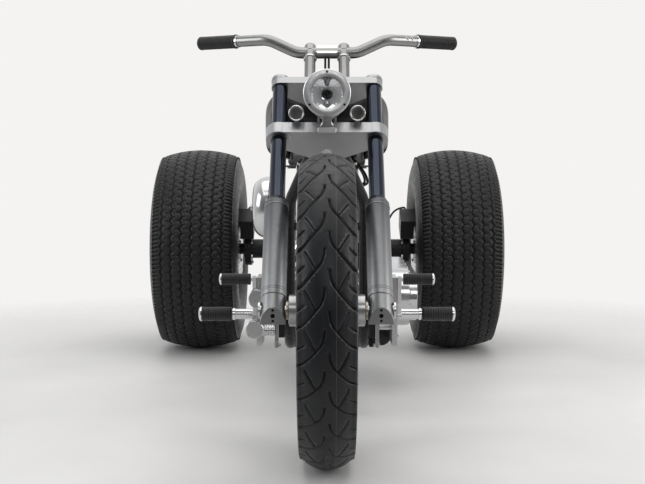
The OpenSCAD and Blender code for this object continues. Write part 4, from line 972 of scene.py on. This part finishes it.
for tilt in (-1, 1):
    head_up = np.array([0, tilt * math.sin(bank), math.cos(bank)])
    head_on = np.array([0, math.cos(bank), -tilt * math.sin(bank)])
    head = crank + head_up * 0.342
    rockers += [slab(shape, layers, head, across, head_on) for shape, layers in (lower_cover, upper_cover)]
    for sx in (-1, 1):
        for sy in (-1, 1):
            place = head + across * sx * 0.088 + head_on * sy * 0.066 + head_up * 0.0335
            screws.append(cap_screw(place, head_up, 5.8, 7.5))
            place = crank + across * sx * 0.05 + head_on * sy * 0.04 + head_up * 0.3375
            studs.append(hex_bolt(place, head_up, 8.5, 10))
    for along in (-0.02, 0.02):
        foot = crank + across * -0.089 + head_on * along
        for h, r in ((0.098, 13.5), (0.2, 11.5), (0.33, 13.5)):
            collars.append(turned(collar(8, r, 1, 1, 8.5), foot + head_up * h, head_up, 32, ring=True))
    plug_way = across + head_up * 0.35 + head_on * tilt * 0.15
    plug_way /= np.linalg.norm(plug_way)
    hole = crank + head_up * 0.318 + across * 0.062
    plugs.append(turned(plug, hole, plug_way, 24, hexagon=(3, 4)))
    tip = hole + plug_way * 0.044
    path = [tip - plug_way * 0.014, tip + plug_way * 0.012, tip + (0.022, -tilt * 0.004, 0.014),
            tip + (0.01, -tilt * 0.035, 0.046), (0.07, crank[1] + tilt * 0.02, 0.755)]
    leads.append(swept(smooth_path(path, 30), lead_r, 12))
rocker = make_piece("rocker_covers", rockers, chrome, "chassis", 50)
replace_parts(rocker, "rocker_boxes")
make_piece("rocker_screws", screws, steel, "chassis")
make_piece("head_studs", studs, steel, "chassis")
make_piece("pushrod_collars", collars, polished, "chassis")
make_piece("spark_plugs", plugs, steel, "chassis")
lead_rubber = rubber("lead_rubber", (0.01, 0.01, 0.011), (0.02, 0.02, 0.021))
make_piece("plug_leads", leads, lead_rubber, "chassis")
coil = slab(rounded_box(60, 50, 10), [(-36, 3), (-33, 0), (33, 0), (36, 3)], (0.058, crank[1], 0.768),
            (0, 1, 0), (0, 0, 1))
make_piece("ignition_coil", [coil], lead_rubber, "chassis")

# ---------------------------------------------------------------------------
# Cam cover: a polished alloy casting on the crankcase's side. A ring of screws holds it,
# two raised ribs run inside them, and a smaller screwed cover lies on its lower boss.

dress(polished, "cam_cover")
out = (-1, 0, 0)
cam = crank + (-0.116, 0, 0)
boss = crank + (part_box("cam_cover")[0].x, 0, -0.034)
screws = [cap_screw(place, out, 4.8, 5.5) for place in bolt_circle(cam, (1, 0, 0), 0.106, 10, 12)]
screws += [cap_screw(place, out, 4.2, 5) for place in bolt_circle(boss, (1, 0, 0), 0.05, 5, 18)]
make_piece("cam_screws", screws, steel, "chassis")
ribs = [turned([(r - 1.6, -1), (r - 1, 1.8), (r + 1, 1.8), (r + 1.6, -1)], cam, out, 96, ring=True)
        for r in (92, 98)]
ribs.append(turned([(0, 6), (20, 5.6), (30, 3.5), (34, 0), (34, -2), (0, -2)], boss, out, 64))
make_piece("cam_ribs", ribs, polished, "chassis")

# ---------------------------------------------------------------------------
# Air cleaner: a domed polished cover over a pleated paper element, held by one big
# screw in its middle; rolled edges hold the element on both sides.

dress(polished, "air_cleaner")
low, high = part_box("air_cleaner")
air = np.array([low.x, (low.y + high.y) / 2, (low.z + high.z) / 2])
air_r = (high.z - low.z) / 2
dome = [(0, 1), (35, 0.4), (60, -1.8), (76, -7), (87, -16), (94, -27), (97.5, -38), (98.5, -48), (98.5, -52)]
dome = [*smooth_path([(r, h, 0) for r, h in dome], 60)[:, :2], (0, -52)]
make_piece("air_cover", [turned(dome, air, out, 96)], polished, "chassis")
make_piece("air_screw", [
    cap_screw(air - (0.0012, 0, 0), out, 11, 7),
    turned([(0, 1.2), (19, 1), (20, 0), (20, -3), (0, -3)], air - (0.0008, 0, 0), out, 48),
], steel, "chassis")
rolled = [(-2, -51), (2.2, -50.5), (3, -53), (2.2, -56), (-2, -56.5)]
edges = [turned([(air_r * 1000 + r, h - drop) for r, h in rolled], air, out, 96, ring=True)
         for drop in (0, 40)]
make_piece("air_edges", edges, chrome, "chassis", 50)
# The element's outside steps out and in, four points to a pleat
pleat_points = 90 * 4
turn = circle(pleat_points)
outer = air_r + 0.0016 * np.where(np.arange(pleat_points) % 4 < 2, 1.0, -0.4)
inner = np.full(pleat_points, air_r - 0.004)
points = np.concatenate([
    np.stack([air[0] + h + 0 * turn, air[1] + r * np.cos(turn), air[2] + r * np.sin(turn)], 1)
    for r, h in ((inner, 0.056), (outer, 0.056), (outer, 0.0935), (inner, 0.0935))])
element = paint("filter_paper", (0.045, 0.045, 0.047), (0.03, 0.03, 0.032), (0.7, 0.85), 0.0)
pleats = (points, grid_faces(4, pleat_points, True, True))
make_piece("air_element", [pleats], element, "chassis", 30)

# ---------------------------------------------------------------------------
# Primary cover: a long polished casting with a raised lip. Screws stand round its edge,
# and a round cover and a smaller one sit over the clutch and the crankshaft.

dress(polished, "primary_cover")
face_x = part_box("primary_cover")[1].x
left = (1, 0, 0)
clutch, shaft = np.array([face_x, 0.35, 0.31]), np.array([face_x, crank[1], 0.298])
to_lip = np.array([-0.026, 0, 0])
lip_r = 0.084
places = [p for p in bolt_circle(clutch + to_lip, left, lip_r, 12, 15) if p[1] > clutch[1] + 0.005]
places += [p for p in bolt_circle(shaft + to_lip, left, lip_r, 12, 15) if p[1] < shaft[1] - 0.005]
places += [shaft + (clutch - shaft) * k + to_lip + (0, 0, h)
           for k in (0.2, 0.5, 0.8) for h in (-lip_r, lip_r)]
screws = [cap_screw(place, left, 4.8, 5.5) for place in places]
places = bolt_circle(clutch + (0.002, 0, 0), left, 0.045, 5, 18)
screws += [cap_screw(place, left, 3.6, 5) for place in places]
make_piece("primary_screws", screws, steel, "chassis")
derby = [(0, 9), (30, 8.6), (44, 6.8), (50, 3), (52, 0), (52, -2), (0, -2)]
small = [(0, 6), (20, 5.6), (26, 3), (28, 0), (28, -2), (0, -2)]
covers = [turned(derby, clutch, left, 80), turned(small, shaft, left, 56)]
make_piece("primary_covers", covers, chrome, "chassis", 50)

# ---------------------------------------------------------------------------
# Exhaust: two chromed pipes that turn brown near the heads. Flanges with two bolts hold
# them at the ports, clamps join the mufflers, and rolled rings end them.

heat_chrome, tree, shader, where = new_material("exhaust_chrome")
shader.inputs["Metallic"].default_value = 1.0
hot = add_range(tree, coordinate(tree, where, "Z"), 0.44, 0.6, 0, 1)
cool = mottle(tree, where, 12, 4.0, 0.35, 0.7, (0.84, 0.84, 0.85), (0.74, 0.74, 0.75))
link(tree, add_mix(tree, hot, cool, (0.55, 0.44, 0.3)), shader.inputs["Base Color"])
vary_roughness(tree, shader, where, 40, 3.0, 0.05, 0.14)
add_bump(tree, shader, add_noise(tree, where, 70, 2.0), 0.02, 0.0005)
dress(heat_chrome, "exhaust_front", "exhaust_rear")
low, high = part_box("exhaust_front")
muffler_x = low.x + 0.04
tip = [(35.5, -6), (41, -6), (42.2, -2), (41.2, 2.2), (38, 3), (35.5, 0)]
rings = []
for z in (0.258, 0.346):
    for rows, y in ((collar(9, 41.2, 1, 1, 38.5), 0.374), (collar(9, 41.2, 1, 1, 38.5), 0.4), (tip, high.y)):
        rings.append(turned(rows, (muffler_x, y, z), (0, 1, 0), 64, ring=True))
make_piece("exhaust_rings", rings, chrome, "chassis", 50)
oval = np.stack([42 * np.cos(circle(40)), 30 * np.sin(circle(40))], 1)
flanges = []
for tilt in (-1, 1):
    head_up = np.array([0, tilt * math.sin(bank), math.cos(bank)])
    port_way = np.array([0, tilt * math.cos(bank), -math.sin(bank)])
    port = crank + across * -0.03 + head_up * 0.3 + port_way * 0.0845
    side_way = np.cross(port_way, across)
    flanges.append(slab(oval, [(0, 0), (6, 0), (7, 1)], port + port_way * 0.002, across, side_way))
    for sx in (-1, 1):
        flanges.append(hex_bolt(port + across * sx * 0.0345 + port_way * 0.009, port_way, 5, 6))
make_piece("exhaust_flanges", flanges, steel, "chassis")

# ---------------------------------------------------------------------------
# Oil tank and filter: a chromed tank with a screwed cap on the gearbox and a black
# spin-on filter with pressed flutes in front. A braided hose runs from each to the engine.

dress(chrome, "oil_tank")
low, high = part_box("oil_tank")
rows = [(0, 12), (14, 11.5), (20, 9), (21.5, 6), (21.5, 1), (23.5, 0), (0, -1)]
cap = turned(rows, (-0.06, (low.y + high.y) / 2, high.z), (0, 0, 1), 48)
make_piece("oil_cap", [cap], polished, "chassis")
black = paint("satin_black", (0.008, 0.008, 0.0085), (0.013, 0.013, 0.0135), (0.32, 0.45), 0.0, 0.3)
dress(black, "oil_filter", "axle_housing", "brake_calipers")
low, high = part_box("oil_filter")
filter_r = 0.03
can = np.array([high.x - filter_r, low.y, high.z - filter_r])
can_sides = 120
turn = circle(can_sides)
points = []
# Radius and height of each row, and whether the 15 flutes cut it
for r, h, cut in (
    (0, 0.006, 0), (0.02, 0.0055, 0), (0.0265, 0.003, 0), (0.0296, -0.004, 1), (0.0306, -0.006, 1),
    (0.0306, -0.022, 1), (0.0306, -0.024, 0), (0.0306, -0.084, 0), (0.0285, -0.0885, 0), (0, -0.0885, 0),
):
    q = r - 0.001 * (np.cos(turn * 15) > 0) * cut
    points.append(np.stack([can[0] + q * np.cos(turn), can[1] - h + 0 * turn, can[2] + q * np.sin(turn)], 1))
shell = (np.concatenate(points), grid_faces(len(points), can_sides, False, True))
make_piece("filter_can", [shell], black, "chassis", 40)
braid, tree, shader, where = new_material("braided_steel")
shader.inputs["Metallic"].default_value = 0.9
weave = tree.nodes.new("ShaderNodeTexVoronoi")
weave.inputs["Scale"].default_value = 420
link(tree, where, weave.inputs["Vector"])
gaps = add_range(tree, weave.outputs["Distance"], 0.1, 0.6, 0, 1)
link(tree, add_mix(tree, gaps, (0.62, 0.62, 0.62), (0.16, 0.16, 0.16)), shader.inputs["Base Color"])
vary_roughness(tree, shader, where, 200, 2.0, 0.25, 0.4)
add_bump(tree, shader, weave.outputs["Distance"], 0.4, 0.0008)
hoses = [swept(smooth_path(path, 40), 0.0065) for path in (
    [(0.156, -0.255, 0.224), (0.156, -0.236, 0.226), (0.14, -0.2, 0.232), (0.105, -0.15, 0.25),
     (0.07, -0.11, 0.262)],
    [(0.06, 0.33, 0.46), (0.066, 0.3, 0.455), (0.074, 0.24, 0.44), (0.06, 0.17, 0.43),
     (0.03, 0.13, 0.42)])]
make_piece("oil_hoses", hoses, braid, "chassis")

# ---------------------------------------------------------------------------
# Belt drive and rear axle: a black toothed belt, a cast housing bolted round its middle,
# and calipers with bolts and pipes on brackets at both ends.

belt_rubber, tree, shader, where = new_material("belt_rubber")
tooth = add_math(tree, "SINE", add_math(tree, "MULTIPLY", coordinate(tree, where, "Y"), 450.0))
tones = mottle(tree, where, 30, 3.0, 0.3, 0.7, (0.013, 0.013, 0.013), (0.024, 0.024, 0.024))
link(tree, tones, shader.inputs["Base Color"])
vary_roughness(tree, shader, where, 90, 2.0, 0.5, 0.7)
add_bump(tree, shader, tooth, 0.5, 0.0015)
dress(belt_rubber, "drive_belt")
bolts = [hex_bolt(place, (-1, 0, 0), 6.5, 6) for place in
         bolt_circle(rear_hub + (-0.06, 0, 0), (1, 0, 0), 0.092, 10)]
lines = []
for side in (-1, 1):
    ring = bolt_circle(rear_hub + (side * 0.3005, 0, 0), (1, 0, 0), 0.054, 6, 30)
    bolts += [hex_bolt(place, (-side, 0, 0), 6, 6) for place in ring]
    start = rear_hub + (side * 0.318, 0.02, 0.15)
    path = [start, start + (-side * 0.012, 0.006, 0.014), start + (-side * 0.055, 0.01, -0.01)]
    ends = ((0.215, 0.01, 0.05), (0.15, 0.004, 0.0395), (0.07, 0, 0.0395))
    path += [rear_hub + (side * x, y, z) for x, y, z in ends]
    lines.append(swept(smooth_path(path, 60), 0.0038, 12))
make_piece("axle_bolts", bolts, steel, "chassis")
make_piece("brake_lines", lines, lead_rubber, "chassis")

# ---------------------------------------------------------------------------
# Foot controls and pegs: billet plates on the frame with two lobed ears, a ribbed brake
# cylinder, and black ribbed rubbers with chromed ends on the pegs.

dress(finned, "foot_controls")
peg_rubber = rubber("peg_rubber", (0.013, 0.013, 0.014), (0.026, 0.026, 0.027))
peg, small_peg = np.array([0, -0.42825, 0.297]), np.array([0, -0.48625, 0.401])
rib = [(18.8, 271.5), (20, 272.9), (20, 275.7), (18.8, 277.1)]
peg_rows = [(0, 268.5), (18.5, 269), *repeated(rib, 12, 0, 6.8), (18.8, 353.5), (0, 354)]
small_rows = [(0, 210.5), (15, 211), *repeated([(15, 213), (16, 214.4), (16, 217.6), (15, 219)], 11, 0, 7),
              (15, 292), (0, 292.2)]
peg_end = [(0, 362), (12, 361.7), (17.5, 360), (20.5, 357), (20.5, 353.5), (0, 353)]
small_end = [(0, 298.5), (9, 298.2), (14, 296.5), (16.3, 294.5), (16.3, 291.5), (0, 291)]
arm = [(0, 196.5), (16.5, 196.5), (16.5, 208), (14.8, 209.5), (14.8, 267), (13.5, 268.2), (0, 268.2)]
plate_bolts = ((-0.366, 0.297, 8.5), (-0.366, 0.358, 6), (-0.46, 0.24, 6), (-0.37, 0.236, 6))
pegs, ends, bolts, arms, brackets, blocks, bracket_bolts = [], [], [], [], [], [], []
for side in (-1, 1):
    way = (side, 0, 0)
    pegs += [turned(peg_rows, peg, way, 40), turned(small_rows, small_peg, way, 36)]
    ends += [turned(peg_end, peg, way, 40), turned(small_end, small_peg, way, 36),
             turned(collar(4, 17, 2, 1, 13), peg + (side * 0.2625, 0, 0), way, 40, ring=True)]
    arms.append(turned(arm, peg, way, 48))
    bolts += [cap_screw((side * 0.196, y, z), way, r, 6) for y, z, r in plate_bolts]
    for pieces, outline, layers, place in (
        (brackets, rounded_box(11, 96, 4), [(-3, 1), (-2, 0), (2, 0), (3, 1)], (0.142, -0.436, 0.25)),
        (blocks, rounded_box(30, 44, 5), [(-12, 2), (-10, 0), (10, 0), (12, 2)], (0.133, -0.423, 0.252)),
    ):
        pieces.append(slab(outline, layers, np.array(place) * (side, 1, 1), (1, 0, 0), (0, 0, 1)))
    for x, z in ((0.134, 0.21), (0.145, 0.213), (0.14, 0.2195)):
        bracket_bolts.append(cap_screw((side * x, -0.439, z), (0, -1, 0), 4.2, 8))
peg_piece = make_piece("ribbed_pegs", pegs, peg_rubber, "chassis", 60)
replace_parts(peg_piece, "foot_pegs")
make_piece("peg_ends", ends, chrome, "chassis")
make_piece("control_bolts", bolts, steel, "chassis")
make_piece("peg_arms", arms, polished, "chassis")
turn = circle(64)
lobed = (25.5 + 1.2 * np.cos(3 * turn))[:, None] * np.stack([np.cos(turn), np.sin(turn)], 1)
ears = [slab(lobed, [(0, 2), (2, 0), (20, 0), (22, 2)], (x, -0.476, z), (1, 0, 0), (0, 0, 1))
        for x, z in ((-0.193, 0.3475), (-0.201, 0.261))]
make_piece("control_ears", ears, finned, "chassis")
rows = [(0, 0), *repeated([(13.5, 0), (17.5, 1), (17.5, 4.2), (13.5, 5.4)], 5, 0, 7), (13.5, 35), (9, 37),
        (0, 37)]
cylinder = turned(rows, (-0.1815, -0.465, 0.256), (1, 0, 0), 40)
make_piece("brake_cylinder", [cylinder], polished, "chassis")
make_piece("control_brackets", brackets, machined, "chassis")
make_piece("switch_blocks", blocks, black, "chassis")
make_piece("bracket_bolts", bracket_bolts, steel, "chassis")

# ---------------------------------------------------------------------------
# Frame and rear lamp: tubes in satin black paint with weld beads at the joints. The red
# lamp has a chromed ring and pressed ribs, and two screws hold the blank plate.

frame_paint = paint("frame_paint", (0.012, 0.012, 0.0125), (0.018, 0.018, 0.0185), (0.24, 0.34), 0.0, 0.3)
dress(frame_paint, "frame_backbone", "frame_cradle", "frame_rear", "seat_pan")
weld, tree, shader, where = new_material("painted_weld")
shader.inputs["Coat Weight"].default_value = 0.4
tones = mottle(tree, where, 90, 3.0, 0.35, 0.65, (0.03, 0.03, 0.031), (0.048, 0.048, 0.049))
link(tree, tones, shader.inputs["Base Color"])
vary_roughness(tree, shader, where, 200, 2.0, 0.35, 0.5)
add_bump(tree, shader, add_noise(tree, where, 420, 2.0), 0.5, 0.001)
turn = circle(120)
beads = []
for centre, axis in (((0, -0.49, 0.8258), (0, 1, 0)), ((0, 0.50975, 0.7), (0, 0, 1))):
    u, v, _ = basis(axis)
    path = np.asarray(centre) + 0.0202 * (np.cos(turn)[:, None] * u + np.sin(turn)[:, None] * v)
    beads.append(swept(path, 0.003 + 0.0006 * np.cos(turn * 34), 8, True))
make_piece("frame_welds", beads, weld, "chassis", 60)
red_glass = paint("red_lens", (0.42, 0.012, 0.01), (0.3, 0.008, 0.008), (0.1, 0.16))
dress(red_glass, "tail_light")
behind = (0, 1, 0)
low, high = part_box("tail_light")
lamp_back = np.array([0, high.y, high.z - 0.032])
rows = band([(32.2, -12), (34.5, -10), (34.5, 0.5), (32.5, 2.8), (30, 1.2)], 30)
make_piece("tail_ring", [turned(rows, lamp_back, behind, 72, ring=True)], chrome, "chassis", 50)
rows = [(0, 2), *repeated([(2, 0.6), (3.4, 2)], 10, 2.8, 0), (30, 0.2), (0, -1)]
make_piece("tail_ribs", [turned(rows, lamp_back, behind, 72)], red_glass, "chassis", 25)
dress(paint("plate_paint", (0.72, 0.72, 0.7), (0.66, 0.66, 0.64), (0.3, 0.4), 0.3), "number_plate")
low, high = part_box("number_plate")
middle = np.array([0, high.y, (low.z + high.z) / 2])
outer, inner = rounded_box(184, 124, 8) * 0.001, rounded_box(172, 112, 5) * 0.001
points = np.concatenate([
    np.stack([edge[:, 0], middle[1] + lift + 0 * edge[:, 0], middle[2] + edge[:, 1]], 1)
    for edge, lift in ((outer, -0.0035), (outer, 0.0015), (inner, 0.0015), (inner, -0.0035))])
make_piece("plate_frame", [(points, grid_faces(4, len(outer), True, True))], chrome, "chassis")
screws = [cap_screw(middle + (side * 0.0725, 0, 0), behind, 5.5, 4) for side in (-1, 1)]
make_piece("plate_screws", screws, steel, "chassis")

# ---------------------------------------------------------------------------
# Seat: a leather cushion that its foam fills out, on a painted pan. A welt of cord
# closes its edge against the pan.

leather, tree, shader, where = new_material("seat_leather")
hide = tree.nodes.new("ShaderNodeTexVoronoi")
hide.inputs["Scale"].default_value = 330
link(tree, where, hide.inputs["Vector"])
tones = mottle(tree, where, 11, 4.0, 0.3, 0.7, (0.018, 0.017, 0.016), (0.034, 0.032, 0.03))
link(tree, tones, shader.inputs["Base Color"])
link(tree, add_range(tree, hide.outputs["Distance"], 0.1, 0.7, 0.38, 0.6), shader.inputs["Roughness"])
add_bump(tree, shader, hide.outputs["Distance"], 0.35, 0.0006)
low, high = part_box("seat")
seat_base = low.z + 0.0015
# The outline: a small circle in front and a large one behind, with straight sides between
front_r, back_r = 0.095, 0.15
front_c, back_c = low.y + front_r, high.y - back_r
lean = math.degrees(math.asin((back_r - front_r) / (back_c - front_c)))
back_arc = arc((0, back_c), back_r, -lean, 180 + lean, 34)
front_arc = arc((0, front_c), front_r, 180 + lean, 360 - lean, 24)
outline = resample(np.concatenate([back_arc, front_arc, back_arc[:1]]), 0.006)[:-1]
middle = np.array([0, (front_c + back_c) / 2])
# Rings of the cushion as shares of its outline and of its height, from the top's middle down
cushion_high = (high.z - low.z) * 0.8
rings = [(0, 1), (0.05, 1), (0.5, 1), (0.9, 1), (0.97, 0.93), (0.995, 0.8), (1, 0.6), (0.995, 0.3),
         (0.97, 0.12), (0.92, 0.02), (0.5, 0), (0.05, 0), (0, 0)]
shape = np.concatenate([
    np.column_stack([middle + (outline - middle) * spread * 0.975,
                     np.full(len(outline), seat_base + cushion_high * rise)])
    for spread, rise in rings])
cushion = (shape, grid_faces(len(rings), len(outline), False, True))
cushion = make_piece("seat_cushion", [cushion], leather, "chassis", 180)
# Pressure fills the skin out; no point moves further than most_move, nor down into the pan
most_move, last_frame = 0.01, 20
remesh = cushion.modifiers.new("remesh", "REMESH")
remesh.mode = "VOXEL"
remesh.voxel_size = 0.0055
remesh.use_smooth_shade = True
cloth = cushion.modifiers.new("cloth", "CLOTH")
cloth.settings.use_pressure = True
cloth.settings.uniform_pressure_force = 4.0
cloth.settings.effector_weights.gravity = 0.0
cloth.settings.quality = 5
cloth.settings.tension_stiffness = 15
cloth.settings.compression_stiffness = 15
cloth.point_cache.frame_start = 1
cloth.point_cache.frame_end = last_frame
cloth.show_viewport = False
bpy.context.view_layer.update()
evaluated = cushion.evaluated_get(bpy.context.evaluated_depsgraph_get())
before = np.array([v.co[:] for v in evaluated.data.vertices])
cloth.show_viewport = True
for frame_number in range(1, last_frame + 1):
    bpy.context.scene.frame_set(frame_number)
evaluated = cushion.evaluated_get(bpy.context.evaluated_depsgraph_get())
settled = bpy.data.meshes.new_from_object(evaluated)
bpy.context.scene.frame_set(1)
move = np.array([v.co[:] for v in settled.vertices]) - before
size = np.linalg.norm(move, axis=1)[:, None]
after = before + move * np.minimum(1, most_move / np.maximum(size, 1e-9))
after[:, 2] = np.maximum(after[:, 2], low.z + 0.0008)
settled.vertices.foreach_set("co", after.astype(np.float32).ravel())
settled.update()
cushion.modifiers.clear()
cushion.data = settled
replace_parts(cushion, "seat")
welt_line = np.column_stack([middle + (outline - middle) * 0.985, np.full(len(outline), low.z + 0.004)])
make_piece("seat_welt", [swept(welt_line, 0.0035, 8, True)], leather, "chassis", 60)
